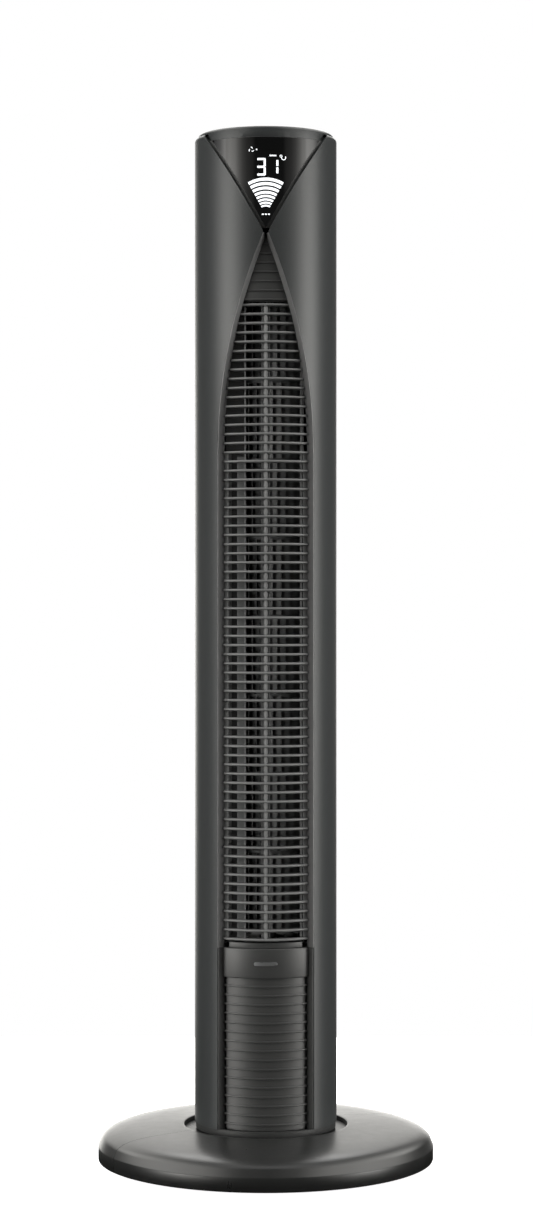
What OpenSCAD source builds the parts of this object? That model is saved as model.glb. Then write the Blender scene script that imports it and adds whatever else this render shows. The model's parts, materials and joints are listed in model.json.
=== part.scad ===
// Tower fan: a slim swinging column on a round two-piece base.
// Millimetres, +Z up, the outlet faces -Y, origin at the centre of the floor face.

/* [Overall] */
// Height from the floor to the top of the cap
total_h = 960; // [820:5:1160]
// Outer radius of the column
tower_r = 66.5; // [62:0.5:80]
// Wall thickness of the column's shells
wall = 2.4; // [1.8:0.1:3.2]
// Seam left between neighbouring shells
seam = 0.4; // [0.2:0.1:0.8]

/* [Base] */
// Outer radius of the base
base_r = 157; // [130:1:190]
// Height of the base's upright rim above the floor
rim_h = 15; // [12:0.5:20]
// Height of the base at its central opening
dome_h = 34; // [31:0.5:42]
// Gap between the column and the edge of the base's central opening
mouth_gap = 10; // [8:0.5:16]
// Wall thickness of the base halves
base_wall = 2.6; // [2:0.1:3.4]
// Direction of the seam between the base halves, in degrees from +X
seam_dir = 27.5; // [0:0.5:60]
// Height of the rubber feet below the rim
foot_h = 1.5; // [1:0.1:3]
// Radius of one rubber foot
foot_r = 9; // [6:0.5:12]
// Depth of the swivel plate below the edge of the opening
recess = 4.3; // [3:0.1:6]

/* [Swivel] */
// Height of the dark neck between the swivel plate and the shells
neck_h = 6; // [5:0.5:12]
// Running gap between the swivel plate and the turntable
slip_h = 1.3; // [1:0.1:2]
// Outer radius of the fixed spindle
spindle_r = 15; // [12:0.5:18]
// Radial clearance of a turning shaft in its bore
run_fit = 0.05; // [0.02:0.01:0.1]
// Gear module of the swing drive
gear_module = 1; // [0.9:0.05:1.05]
// Teeth on the fixed swing gear
gear_teeth = 56; // [52:4:60]
// Teeth on the swing pinion
pinion_teeth = 14; // [14:1:16]
// Radius of the swing motor's can
swing_motor_r = 24.5; // [20:0.5:25]

/* [Front] */
// Half width of the straight part of the front opening
open_w = 44.6; // [37:0.2:46]
// Length over which the opening narrows to its point
open_taper = 206.7; // [160:0.1:260]
// Thickness of the trim that lines the opening
trim_t = 1.3; // [0.8:0.1:2]
// Radius of the slats' front edges below the column's own
slat_inset = 6.5; // [4:0.5:8]
// Depth of one slat from front to back
slat_deep = 8; // [5:0.5:10]
// Thickness of one slat
slat_t = 2.4; // [1.6:0.1:3]
// Spacing of the slats and of the ribs on the panels
pitch = 8.46; // [7.5:0.02:10]
// Height of the ribbed lower panel
lower_h = 140; // [100:1:180]
// Height of the plain badge plate
badge_h = 27.5; // [20:0.5:40]
// Height of the recessed strip above the badge plate
strip_h = 8; // [6:0.5:12]
// Height of the closed insert between the slats and the display
insert_h = 62; // [50:1:80]
// Height of the triangular display panel
display_h = 88; // [70:1:110]
// Width of the groove beside the display panel
groove_w = 3.8; // [2.4:0.1:5]
// Height of the cap above the display panel
cap_h = 10; // [8:0.5:14]

/* [Fan] */
// Radius of the impeller
imp_r = 38; // [31.5:0.5:40]
// Place of the impeller's axis to the right of the column's
imp_x = 6; // [0:0.5:8]
// Place of the impeller's axis behind the column's
imp_y = 8; // [4:0.5:10]
// Blades in each segment
blades = 30; // [20:1:36]
// Thickness of a blade
blade_t = 1.2; // [0.8:0.1:1.6]
// Gap between the impeller and the duct at its tightest
tip_gap = 3; // [2:0.5:4]
// Radius of the motor
motor_r = 39; // [32:0.5:44]
// Height of the motor's stator
stator_h = 30; // [24:1:40]
// Radius of the motor shaft
shaft_r = 4; // [3:0.5:5]

/* [Back] */
// Half angle of the rear shell about the column
rear_half = 50; // [46:1:56]
// Height of the hand grip's opening
grip_h = 30; // [26:1:36]
// Half width of the hand grip's opening
grip_w = 40; // [34:1:42]
// Depth of the hand grip
grip_d = 28; // [22:1:30]
// Angle between two fins of the intake grille
fin_step = 4; // [3:0.5:6]
// Thickness of one fin
fin_t = 1.6; // [1.2:0.1:2]

/* [Buttons] */
// Radius of one button
button_r = 5.6; // [4.5:0.1:6]
// Spacing of the buttons
button_pitch = 15; // [13:0.5:18]
// Travel of a button
button_travel = 0.8; // [0.5:0.1:1.2]

/* [Hidden] */
$fn = 96;
segments = 8;
buttons = ["power", "speed", "timer", "swing"];

mouth_r = tower_r + mouth_gap;

// Heights up the column
plate_z = dome_h - recess;
plate_t = 3;
turn_z = plate_z + slip_h;
turn_t = 3;
shell_z = turn_z + neck_h;
lower_top = shell_z + lower_h;
badge_top = lower_top + badge_h;
grille_z = badge_top + strip_h;
cap_z = total_h - cap_h;
v_tip = cap_z - display_h;
grille_top = v_tip - insert_h;
slats = floor((grille_top - grille_z) / pitch);
bend_z = v_tip + 5.7 - open_taper;
deck_t = 3;
deck_z = badge_top + 0.5;
top_deck_z = grille_top + 6;

// Radii of the column
inner_r = tower_r - wall;
slat_r = tower_r - slat_inset;
slat_back = slat_r - slat_deep;
trim_r = slat_r - 3;
panel_r = tower_r - 0.3;
panel_t = 2.6;
cap_r = tower_r - 3.2;
lip_r = cap_r - 2.6;
lip_z = total_h - 3.5;
rim_top = rim_h + foot_h - 1.5;

// Swing drive
swing_c = gear_module * (gear_teeth + pinion_teeth) / 2;
sleeve_r = spindle_r + 4;
sleeve_h = 9;
gear_z = turn_z + sleeve_h + 0.6;
gear_h = 6;
journal_r = spindle_r - 3;
nut_h = 4;
swing_z = gear_z + gear_h + nut_h + 2;
swing_h = 16;
swing_shaft_r = 3;
ear_x = swing_motor_r + 6;

// Impeller and motor
imp_z = grille_z + 3.5;
imp_top = grille_top + 2;
disc_t = 1.6;
seg_len = (imp_top - imp_z - 2 * disc_t) / segments;
disc_r = imp_r + 0.6;
hole_in = imp_r - 10;
bell_h = 15;
bolt_r = 2;
bolt_c = motor_r - 5;
motor_top = deck_z;
motor_z = motor_top - stator_h - 2 * bell_h;
rotor_r = motor_r - 15;
air_gap = 0.4;
stub_r = 3;
mount_r = 13;
bearing_r = 7;

// Front opening: half widths and half angles at a height
function open_half(z) = z < bend_z ? open_w : open_w * max(0, 1 - pow((z - bend_z) / open_taper, 2));
function v_half(z) = 0.53 * (z - v_tip) + 0.00076 * pow(z - v_tip, 2);
function lens_angle(z) = asin(open_half(z) / tower_r);
function v_angle(z, grow) = asin(max(0.05, v_half(z) + grow) / tower_r);
trim_angle = asin(trim_t / tower_r);
open_angle = asin(open_w / tower_r);
open_end = v_tip + 5.5;
lens_steps = 22;
function close_z(shrink) = min(open_end, bend_z + open_taper * sqrt(1 - tower_r * sin(shrink) / open_w));
function lens_zs(shrink) = concat([shell_z - 2],
    [for (i = [0:lens_steps]) bend_z + (close_z(shrink) - bend_z) * sqrt(i / lens_steps)]);
v_steps = 16;
v_low = v_tip - 3.3;
v_zs = [for (i = [0:v_steps]) v_low + (total_h + 2 - v_low) * i / v_steps];
front = 270;
rear = 90;

// ---------- shared shapes ----------

// A wedge from the axis towards the front whose half angle follows the height.
// Its two sides end just outside the column, then meet in front of it.
module sector(zs, half) {
    n = len(zs);
    reach = tower_r + 1.5;
    points = [for (z = zs) let (x = reach * sin(half(z)), y = -reach * cos(half(z))) each [
        [0, 0, z], [-x, y, z], [0, -reach / cos(half(z)) - 1, z], [x, y, z]
    ]];
    sides = [for (i = [0:n - 2]) let (a = 4 * i, b = a + 4) each [
        [a, b, b + 1], [a, b + 1, a + 1],
        [a + 1, b + 1, b + 2], [a + 1, b + 2, a + 2],
        [a + 2, b + 2, b + 3], [a + 2, b + 3, a + 3],
        [a + 3, b + 3, a], [b + 3, b, a]
    ]];
    top = 4 * (n - 1);
    polyhedron(points, concat([[0, 1, 2], [0, 2, 3], [top, top + 2, top + 1], [top, top + 3, top + 2]], sides),
        convexity = 4);
}

module lens(shrink = 0) {
    sector(lens_zs(shrink), function(z) max(0.02, lens_angle(z) - shrink));
}

module vee(grow) {
    sector(v_zs, function(z) v_angle(z, grow));
}

// A ring about the column's axis, whole or from one angle to another
module ring(r0, r1, z0, z1) {
    translate([0, 0, z0])
        difference() {
            cylinder(r = r1, h = z1 - z0);
            translate([0, 0, -1])
                cylinder(r = r0, h = z1 - z0 + 2);
        }
}

module arc(r0, r1, z0, z1, a0, a1) {
    rotate_extrude(angle = a1 - a0, start = a0)
        translate([r0, z0])
            square([r1 - r0, z1 - z0]);
}

module front_arc(r0, r1, z0, z1, half) {
    arc(r0, r1, z0, z1, front - half, front + half);
}

module peg(r, z0, z1) {
    translate([0, 0, z0])
        cylinder(r = r, h = z1 - z0);
}

module at_impeller() {
    translate([imp_x, imp_y, 0])
        children();
}

module at_bolts() {
    at_impeller()
        for (a = [45:90:315])
            rotate([0, 0, a])
                translate([bolt_c, 0, 0])
                    children();
}

// ---------- base ----------

dome_steps = 16;
dome_bulge = 9;
bulge_bias = 0.45; // below 1, the dome is fullest nearer its rim
function dome_z(u) = min(dome_h,
    rim_top + 1 + (dome_h - rim_top - 1) * u + dome_bulge * sin(180 * pow(u, bulge_bias)));
function dome_points(inset) = [for (i = [0:dome_steps]) let (u = i / dome_steps)
    [base_r - 1 + (mouth_r - base_r + 1) * u, dome_z(u) - inset]];
ledge_r = mouth_r - 16;
screw_c = mouth_r - 8;
foot_c = base_r - 17;

module base_section() {
    difference() {
        union() {
            polygon(concat([[base_r - 1, foot_h], [base_r, foot_h + 1], [base_r, rim_top]],
                dome_points(0), [[mouth_r, foot_h]]));
            translate([ledge_r, foot_h + 12])
                square([mouth_r - ledge_r + 1, plate_z - plate_t - foot_h - 12]);
        }
        polygon(concat([[base_r - base_wall, foot_h - 1], [base_r - base_wall, rim_top - 1.5]],
            [for (p = dome_points(base_wall)) if (p[0] > mouth_r + base_wall && p[0] < base_r - base_wall) p],
            [[mouth_r + base_wall, foot_h - 1]]));
        translate([ledge_r - 1, foot_h - 1])
            square([mouth_r - ledge_r + 1 - base_wall, plate_z - plate_t - foot_h - 2]);
    }
}

module at_feet(front_half) {
    for (i = [0:2])
        rotate([0, 0, seam_dir + (front_half ? 180 : 0) + 30 + 60 * i])
            translate([foot_c, 0, 0])
                children();
}

module at_base_screws(front_half) {
    for (i = [0:1])
        rotate([0, 0, seam_dir + (front_half ? 180 : 0) + 45 + 90 * i])
            translate([screw_c, 0, 0])
                children();
}

module base_core() {
    skin = base_wall / 2;
    rotate_extrude()
        polygon(concat([[base_r - skin, foot_h], [base_r - skin, rim_top - 1]],
            [for (p = dome_points(skin)) if (p[0] > mouth_r + skin && p[0] < base_r - skin) p],
            [[mouth_r + skin, foot_h]]));
}

module base_half(front_half) {
    turn = seam_dir + (front_half ? 180 : 0);
    color([0.2, 0.2, 0.21])
        difference() {
            union() {
                intersection() {
                    rotate_extrude(angle = 180, start = turn)
                        base_section();
                    rotate([0, 0, turn])
                        translate([-base_r - 5, seam / 2, -1])
                            cube([2 * base_r + 10, base_r + 5, dome_h + 10]);
                }
                intersection() {
                    base_core();
                    union() {
                        at_feet(front_half)
                            peg(foot_r - 1, foot_h, dome_h);
                        for (i = [0:1])
                            rotate([0, 0, turn + 60 + 60 * i])
                                translate([mouth_r, -1, foot_h + 2])
                                    cube([base_r - mouth_r, 2, dome_h]);
                    }
                }
            }
            at_base_screws(front_half)
                peg(1.9, 0, plate_z);
        }
}

module base_half_front() {
    base_half(true);
}

module base_half_rear() {
    base_half(false);
}

module base_feet() {
    color([0.08, 0.08, 0.08])
        for (half = [true, false])
            at_feet(half)
                difference() {
                    peg(foot_r, 0, foot_h);
                    peg(foot_r * 0.55, -1, foot_h * 0.4);
                }
}

module base_screws() {
    color([0.7, 0.7, 0.72])
        for (half = [true, false])
            at_base_screws(half) {
                peg(1.9, plate_z - plate_t - 4, plate_z - 1);
                difference() {
                    peg(3.6, plate_z - plate_t - 5.4, plate_z - plate_t - 3);
                    translate([-2.5, -0.5, 0])
                        cube([5, 1, plate_z - plate_t - 4.6]);
                    translate([-0.5, -2.5, 0])
                        cube([1, 5, plate_z - plate_t - 4.6]);
                }
            }
}

// ---------- swivel ----------

module swivel_plate() {
    color([0.24, 0.24, 0.25])
        difference() {
            union() {
                peg(mouth_r - 0.5, plate_z - plate_t, plate_z);
                peg(spindle_r, plate_z - plate_t, gear_z);
                peg(journal_r, plate_z - plate_t, gear_z + gear_h + nut_h);
            }
            peg(journal_r - 4, 0, total_h);
            for (half = [true, false])
                at_base_screws(half)
                    peg(1.9, plate_z - plate_t - 1, plate_z - 1);
        }
}

module slip_ring() {
    color([0.85, 0.85, 0.8])
        ring(spindle_r + 10, spindle_r + 22, plate_z, turn_z - 0.1);
}

// Involute tooth: half angle of a tooth at a radius, in degrees
pressure = 25;
backlash = 0.1;
function inv(a) = tan(a) * 180 / PI - a;
function tooth_half(n, r) = let (rp = gear_module * n / 2, rb = rp * cos(pressure))
    (90 - backlash * 90 / gear_module) / n + inv(pressure) - inv(acos(min(1, rb / r)));
function gear_outline(n) = let (
        rp = gear_module * n / 2,
        root = rp - 1.2 * gear_module,
        low = max(root, rp * cos(pressure)),
        tip = rp + gear_module,
        radii = [low, (low + rp) / 2, rp, (rp + tip) / 2, tip]
    ) [for (k = [0:n - 1]) let (c = 360 * k / n) each concat(
        low > root ? [[c - tooth_half(n, low), root]] : [],
        [for (r = radii) [c - tooth_half(n, r), r]],
        [for (i = [4:-1:0]) [c + tooth_half(n, radii[i]), radii[i]]],
        low > root ? [[c + tooth_half(n, low), root]] : [])];

module gear(n, h) {
    linear_extrude(h)
        polygon([for (p = gear_outline(n)) p[1] * [cos(p[0]), sin(p[0])]]);
}

module swing_gear() {
    color([0.9, 0.88, 0.8])
        difference() {
            translate([0, 0, gear_z])
                gear(gear_teeth, gear_h);
            peg(journal_r, 0, total_h);
            for (a = [0:60:300])
                rotate([0, 0, a])
                    translate([(journal_r + gear_teeth * gear_module / 2) / 2, 0, 0])
                        peg(3, 0, total_h);
        }
}

module spindle_nut() {
    color([0.75, 0.75, 0.77])
        difference() {
            translate([0, 0, gear_z + gear_h])
                cylinder(r = journal_r + 6, h = nut_h, $fn = 6);
            peg(journal_r, 0, total_h);
        }
}

module turntable() {
    color([0.07, 0.07, 0.07])
        difference() {
            union() {
                peg(tower_r - 1, turn_z, turn_z + turn_t);
                ring(inner_r - 3, tower_r - 1, turn_z, shell_z);
                peg(sleeve_r, turn_z, turn_z + sleeve_h);
                for (x = [-ear_x, ear_x])
                    translate([x, swing_c, 0])
                        peg(4, turn_z, swing_z);
                front_arc(trim_r - 5, trim_r - 2.5, turn_z, shell_z + 12, open_angle - 6);
            }
            peg(spindle_r + run_fit, 0, total_h);
            for (x = [-ear_x, ear_x])
                translate([x, swing_c, 0])
                    peg(1.5, turn_z + turn_t, total_h);
        }
}

module swing_motor() {
    color([0.72, 0.72, 0.74])
        difference() {
            union() {
                translate([0, swing_c, 0])
                    peg(swing_motor_r, swing_z, swing_z + swing_h);
                translate([-ear_x, swing_c - 4, swing_z])
                    cube([2 * ear_x, 8, 1.2]);
                for (x = [-ear_x, ear_x])
                    translate([x, swing_c, 0])
                        peg(4, swing_z, swing_z + 1.2);
            }
            translate([0, swing_c, 0])
                peg(swing_shaft_r + run_fit, swing_z - 1, swing_z + swing_h - 3);
            for (x = [-ear_x, ear_x])
                translate([x, swing_c, 0])
                    peg(1.5, 0, total_h);
        }
}

module swing_pinion() {
    color([0.9, 0.88, 0.8])
        translate([0, swing_c, gear_z])
            difference() {
                rotate([0, 0, front + 180 / pinion_teeth])
                    gear(pinion_teeth, gear_h);
                translate([0, 0, -1])
                    cylinder(r = swing_shaft_r, h = gear_h + 2);
            }
}

module swing_shaft() {
    color([0.75, 0.75, 0.77])
        translate([0, swing_c, 0])
            peg(swing_shaft_r, gear_z, swing_z + swing_h - 4);
}

// ---------- column ----------

module column_section() {
    polygon([
        [tower_r, shell_z], [tower_r, total_h - 7], [cap_r + 0.3, lip_z],
        [lip_r, lip_z], [lip_r, lip_z - 3], [inner_r, lip_z - 3 - (inner_r - lip_r)],
        [inner_r, shell_z]
    ]);
}

module side_shell(side) {
    color([0.3, 0.3, 0.32])
        mirror([side == "left" ? 1 : 0, 0, 0])
            difference() {
                rotate_extrude(angle = 180 - rear_half - seam_angle / 2, start = front)
                    column_section();
                lens();
                vee(groove_w / 2);
                translate([-seam / 2, -tower_r - 5, v_low - 10])
                    cube([seam, tower_r, total_h]);
            }
}

seam_angle = asin(seam / tower_r);

module side_shell_left() {
    side_shell("left");
}

module side_shell_right() {
    side_shell("right");
}

window_half = rear_half - 5;
window_z = grille_z;
window_top = grille_top;
grip_z = window_top + 80;
gland_z = shell_z + 50;
gland_r = 7;
lap = 3;
rear_split = window_top + 64;
screw_rows = [shell_z + 60, (shell_z + total_h) / 2, window_top + 45, total_h - 36];

module at_shell_screws() {
    for (z = screw_rows)
        for (side = [-1, 1])
            rotate([0, 0, rear + side * (rear_half - 2.5)])
                translate([tower_r, 0, z])
                    rotate([0, -90, 0])
                        children();
}

// The back cover is two mouldings that meet at a seam above the intake
module rear_cover(z0, z1) {
    half = rear_half - seam_angle / 2;
    color([0.28, 0.28, 0.3])
        difference() {
            intersection() {
                union() {
                    rotate_extrude(angle = 2 * half, start = rear - half)
                        column_section();
                    for (side = [-1, 1])
                        arc(inner_r - 2, inner_r, shell_z, total_h - 14,
                            rear + side * rear_half - lap, rear + side * rear_half + lap);
                }
                peg(tower_r + 1, z0, z1);
            }
            arc(inner_r - 9, tower_r + 5, window_z, window_top, rear - window_half, rear + window_half);
            translate([-grip_w, inner_r - 40, grip_z])
                cube([2 * grip_w, 80, grip_h]);
            translate([0, tower_r - 20, gland_z])
                rotate([-90, 0, 0])
                    cylinder(r = gland_r, h = 30);
            at_shell_screws() {
                translate([0, 0, -1])
                    cylinder(r = 3.2, h = 2);
                cylinder(r = 1.6, h = 12);
            }
        }
}

module rear_shell() {
    rear_cover(shell_z - 1, rear_split - seam / 2);
}

module rear_shell_top() {
    rear_cover(rear_split + seam / 2, total_h);
}

module rear_grille() {
    fins = floor((window_half - 2) / fin_step);
    color([0.12, 0.12, 0.13]) {
        union() {
            for (i = [-fins:fins])
                rotate([0, 0, rear + i * fin_step])
                    translate([inner_r - 3, -fin_t / 2, window_z])
                        cube([tower_r - 0.6 - inner_r + 3, fin_t, window_top - window_z]);
            for (i = [0:segments])
                arc(inner_r - 2.2, tower_r - 1.6,
                    window_z + (window_top - window_z - 4) * i / segments,
                    window_z + (window_top - window_z - 4) * i / segments + 4,
                    rear - window_half + 0.75, rear + window_half - 0.75);
            for (side = [-1, 1])
                arc(inner_r - 3, tower_r - 0.6, window_z, window_top,
                    rear + side * (window_half - 0.75) - 0.75, rear + side * (window_half - 0.75) + 0.75);
        }
    }
}

module grip_cup() {
    color([0.12, 0.12, 0.13])
        difference() {
            translate([-grip_w, inner_r - grip_d, grip_z])
                intersection() {
                    cube([2 * grip_w, grip_d + 10, grip_h]);
                    translate([grip_w, grip_d - inner_r, 0])
                        cylinder(r = tower_r - 0.8, h = grip_h);
                }
            translate([2 - grip_w, inner_r - grip_d + 2, grip_z + 2])
                cube([2 * grip_w - 4, grip_d + 40, grip_h - 4]);
        }
}

module cord_gland() {
    color([0.06, 0.06, 0.06])
        translate([0, 0, gland_z])
            rotate([-90, 0, 0])
                difference() {
                    union() {
                        translate([0, 0, inner_r - 6])
                            cylinder(r = gland_r, h = 12);
                        translate([0, 0, inner_r - 6])
                            cylinder(r = gland_r + 2, h = 3);
                        translate([0, 0, tower_r])
                            cylinder(r = gland_r + 1.5, h = 2.5);
                    }
                    translate([0, 0, inner_r - 20])
                        cylinder(r = 3.6, h = 60);
                }
}

module column_screws() {
    color([0.15, 0.15, 0.16]) {
        at_shell_screws()
            difference() {
                union() {
                    translate([0, 0, 0.4])
                        cylinder(r = 3, h = 0.6);
                    cylinder(r = 1.6, h = 9);
                }
                translate([-2, -0.4, -1])
                    cube([4, 0.8, 1.6]);
            }
        for (x = [-ear_x, ear_x])
            translate([x, swing_c, 0]) {
                peg(1.5, swing_z - 8, swing_z + 1.2);
                peg(2.8, swing_z + 1.2, swing_z + 3);
            }
    }
}

// ---------- front ----------

module front_grille() {
    color([0.16, 0.16, 0.17])
        union() {
            intersection() {
                for (i = [0:slats]) let (z = grille_z + i * pitch)
                    front_arc(slat_back, slat_r, z - slat_t / 2, z + slat_t / 2, lens_angle(z));
                lens(trim_angle + 0.15);
            }
            translate([-1.2, -slat_r + 1.2, grille_z - slat_t / 2])
                cube([2.4, slat_deep, slats * pitch + slat_t]);
            for (x = [-spine_w / 2, spine_w / 2])
                translate([x - 0.8, -slat_back - 0.6, grille_z - slat_t / 2])
                    cube([1.6, 3, slats * pitch + slat_t]);
            for (side = [-1, 1])
                arc(slat_back, trim_r, grille_z - slat_t / 2, bend_z,
                    front + side * (open_angle - 2.5) - 2.4, front + side * (open_angle - 2.5) + 2.4);
        }
}

spine_w = 5.5;

module lens_trim() {
    color([0.45, 0.45, 0.47])
        difference() {
            intersection() {
                ring(trim_r, tower_r - 0.2, badge_top, v_tip + 3);
                lens();
            }
            lens(trim_angle);
        }
}

module lower_trim() {
    color([0.1, 0.1, 0.1])
        for (side = [-1, 1])
            arc(trim_r, tower_r - 0.8, shell_z, badge_top,
                front + side * (open_angle - trim_angle / 2) - trim_angle / 2,
                front + side * (open_angle - trim_angle / 2) + trim_angle / 2);
}

rib_h = 1.1;
rib_t = 1.8;
function ribs(z0, z1) = floor((z1 - z0 - rib_t) / pitch);

module upper_insert() {
    color([0.2, 0.2, 0.21])
        intersection() {
            union() {
                ring(trim_r - 3, trim_r, grille_top, v_tip);
                intersection() {
                    union() {
                        ring(trim_r - 3, slat_r - rib_h, grille_top, v_tip - 3);
                        for (i = [0:ribs(grille_top, v_tip - 4)])
                            ring(trim_r - 3, slat_r, grille_top + i * pitch, grille_top + i * pitch + rib_t);
                    }
                    lens(trim_angle + 0.15);
                }
            }
            lens(0.05);
        }
}

panel_half = asin((open_w - trim_t) / tower_r);

module badge_plate() {
    color([0.22, 0.22, 0.23])
        union() {
            front_arc(trim_r, slat_r + 0.4, lower_top, badge_top, panel_half);
            front_arc(trim_r - 2.5, trim_r, lower_top, badge_top, open_angle - 0.2);
            front_arc(trim_r - 2.5, trim_r + 0.6, badge_top, grille_z - slat_t / 2 - 1.5, panel_half - 5);
        }
}

module lower_panel() {
    half = panel_half - 2.2;
    color([0.2, 0.2, 0.21])
        union() {
            front_arc(trim_r - 2.5, slat_r - rib_h - 0.6, shell_z, lower_top, half);
            front_arc(trim_r - 2.5, trim_r - 0.8, shell_z, lower_top, open_angle - 0.2);
            for (side = [-1, 1])
                arc(trim_r - 2.5, trim_r, shell_z, lower_top,
                    front + side * (open_angle - 1) - 0.8, front + side * (open_angle - 1) + 0.8);
            for (i = [1:ribs(shell_z, lower_top)])
                front_arc(trim_r - 1, slat_r - 0.6, lower_top - i * pitch, lower_top - i * pitch + rib_t,
                    panel_half - 0.3);
        }
}

module display_frame() {
    color([0.04, 0.04, 0.04])
        intersection() {
            ring(panel_r - panel_t - 2.4, inner_r - 0.6, v_tip + 4, cap_z);
            vee(groove_w / 2 + 3);
        }
}

module display_panel() {
    color([0.02, 0.02, 0.02])
        intersection() {
            ring(inner_r - 0.6, panel_r, v_tip + 3.5, cap_z - 0.4);
            vee(-groove_w / 2);
        }
}

board_y = panel_r - panel_t - 2.4;
board_w = 34;

module display_board() {
    color([0.1, 0.3, 0.15])
        union() {
            translate([-board_w / 2, -sqrt(board_y * board_y - board_w * board_w / 4), v_tip + 40])
                cube([board_w, 1.6, display_h - 50]);
            for (x = [-10, 10])
                translate([x - 3, 1.6 - sqrt(board_y * board_y - board_w * board_w / 4), v_tip + 48])
                    cube([6, 3, 10]);
        }
}

deck_face = total_h - 1.4;
button_y = -14;
function button_x(i) = (i - (len(buttons) - 1) / 2) * button_pitch;

module at_button(i) {
    translate([button_x(i), button_y, 0])
        children();
}

module top_cap() {
    color([0.16, 0.16, 0.17])
        difference() {
            union() {
                difference() {
                    rotate_extrude()
                        polygon(concat([[0, lip_z - 1], [lip_r - 0.3, lip_z - 1], [lip_r - 0.3, lip_z], [cap_r, lip_z]],
                            [for (a = [0:15:90]) [cap_r - 2.5 + 2.5 * cos(a), total_h - 2.5 + 2.5 * sin(a)]],
                            [[0, total_h]]));
                    peg(cap_r - 9, deck_face, total_h + 1);
                }
                ring(lip_r - 3, lip_r - 0.3, lip_z - 10, lip_z);
                intersection() {
                    ring(lip_r - 1, cap_r, cap_z, lip_z + 0.5);
                    vee(-0.4);
                }
            }
            for (i = [0:len(buttons) - 1])
                at_button(i)
                    peg(button_r + 0.3, 0, total_h + 1);
        }
}

board_z = total_h - 16;

module control_board() {
    color([0.1, 0.3, 0.15])
        union() {
            difference() {
                peg(lip_r - 8, board_z, board_z + 1.6);
                translate([-tower_r, 12, 0])
                    cube([2 * tower_r, tower_r, total_h]);
            }
            for (i = [0:len(buttons) - 1])
                at_button(i)
                    translate([-3, -3, board_z + 1.6])
                        cube([6, 6, 3.4]);
            for (side = [-1, 1])
                translate([side * (button_x(len(buttons) - 1) + button_r + 6), button_y, 0])
                    peg(3, board_z + 1.6, lip_z - 1);
        }
}

module button(i) {
    stem_z = board_z + 5 + button_travel + 0.1;
    color([0.05, 0.05, 0.05])
        at_button(i)
            union() {
                peg(button_r, lip_z - 2, total_h - 0.4);
                peg(button_r + 0.9, lip_z - 2.6, lip_z - 1.1);
                peg(2, stem_z, lip_z - 2);
            }
}

// ---------- air duct ----------

module deck(z) {
    difference() {
        peg(inner_r, z, z + deck_t);
        arc(trim_r - 2.5 - 3, tower_r + 5, z - 1, z + deck_t + 1,
            front - open_angle - 1, front + open_angle + 1);
        for (side = [-1, 1])
            arc(inner_r - 2, tower_r, z - 1, z + deck_t + 1,
                rear + side * rear_half - lap, rear + side * rear_half + lap);
        rotate([0, 0, wire_dir])
            translate([wire_c, 0, 0])
                peg(wire_r, 0, total_h);
    }
}

wire_dir = -14;
wire_c = inner_r - 5;
wire_r = 2.5;

module lower_deck() {
    color([0.15, 0.15, 0.16])
        difference() {
            deck(deck_z);
            at_impeller()
                peg(12, 0, total_h);
            at_bolts()
                peg(bolt_r, 0, total_h);
        }
}

module upper_deck() {
    color([0.15, 0.15, 0.16])
        difference() {
            deck(top_deck_z);
            at_impeller()
                peg(mount_r, 0, total_h);
        }
}

spiral_steps = 14;
scroll_from = 62;
scroll_to = -52;
scroll_gain = 7.5;
function scroll_point(u, grow) = let (a = scroll_from + (scroll_to - scroll_from) * u,
    r = disc_r + tip_gap + scroll_gain * u + grow) [imp_x + r * cos(a), imp_y + r * sin(a)];
duct_z = deck_z + deck_t;
lip_x = 33;
lip_y = -(slat_back - 15);

module scroll_duct() {
    color([0.1, 0.1, 0.11])
        translate([0, 0, duct_z])
            linear_extrude(top_deck_z - duct_z)
                polygon(concat(
                    [for (i = [0:spiral_steps]) scroll_point(i / spiral_steps, 0)],
                    [[lip_x, lip_y], [lip_x + 2, lip_y - 1]],
                    [for (i = [spiral_steps:-1:0]) scroll_point(i / spiral_steps, 2)]));
}

tongue_x = -18.5;
function tongue_point(a, grow) = [imp_x + (disc_r + tip_gap + grow) * cos(a), imp_y + (disc_r + tip_gap + grow) * sin(a)];

module tongue() {
    color([0.12, 0.12, 0.13])
        translate([0, 0, duct_z])
            linear_extrude(top_deck_z - duct_z)
                difference() {
                    tongue_outline();
                    offset(delta = -2)
                        tongue_outline();
                }
}

module tongue_outline() {
    polygon(concat(
        [for (a = [200:8:232]) tongue_point(a, 0)],
        [[tongue_x, -27], [tongue_x, -31], [-37, -36], [-46, -20]]));
}

module bearing_mount() {
    color([0.05, 0.05, 0.05])
        at_impeller()
            difference() {
                union() {
                    peg(mount_r, top_deck_z, top_deck_z + deck_t);
                    peg(mount_r + 2, top_deck_z + deck_t, top_deck_z + deck_t + 2);
                }
                peg(bearing_r, 0, total_h);
            }
}

module upper_bearing() {
    color([0.75, 0.6, 0.35])
        at_impeller()
            difference() {
                peg(bearing_r, top_deck_z, top_deck_z + deck_t + 3);
                peg(stub_r + run_fit, 0, total_h);
            }
}

// ---------- motor ----------

module motor_stator() {
    z = motor_z + bell_h;
    color([0.55, 0.55, 0.57])
        at_impeller()
            difference() {
                union() {
                    ring(rotor_r + air_gap, motor_r, z, z + stator_h);
                    ring(rotor_r + air_gap + 2, bolt_c - bolt_r - 2, z - 8, z + stator_h + 8);
                }
                for (a = [45:90:315])
                    rotate([0, 0, a])
                        translate([bolt_c, 0, 0])
                            peg(bolt_r, 0, total_h);
            }
}

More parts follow.
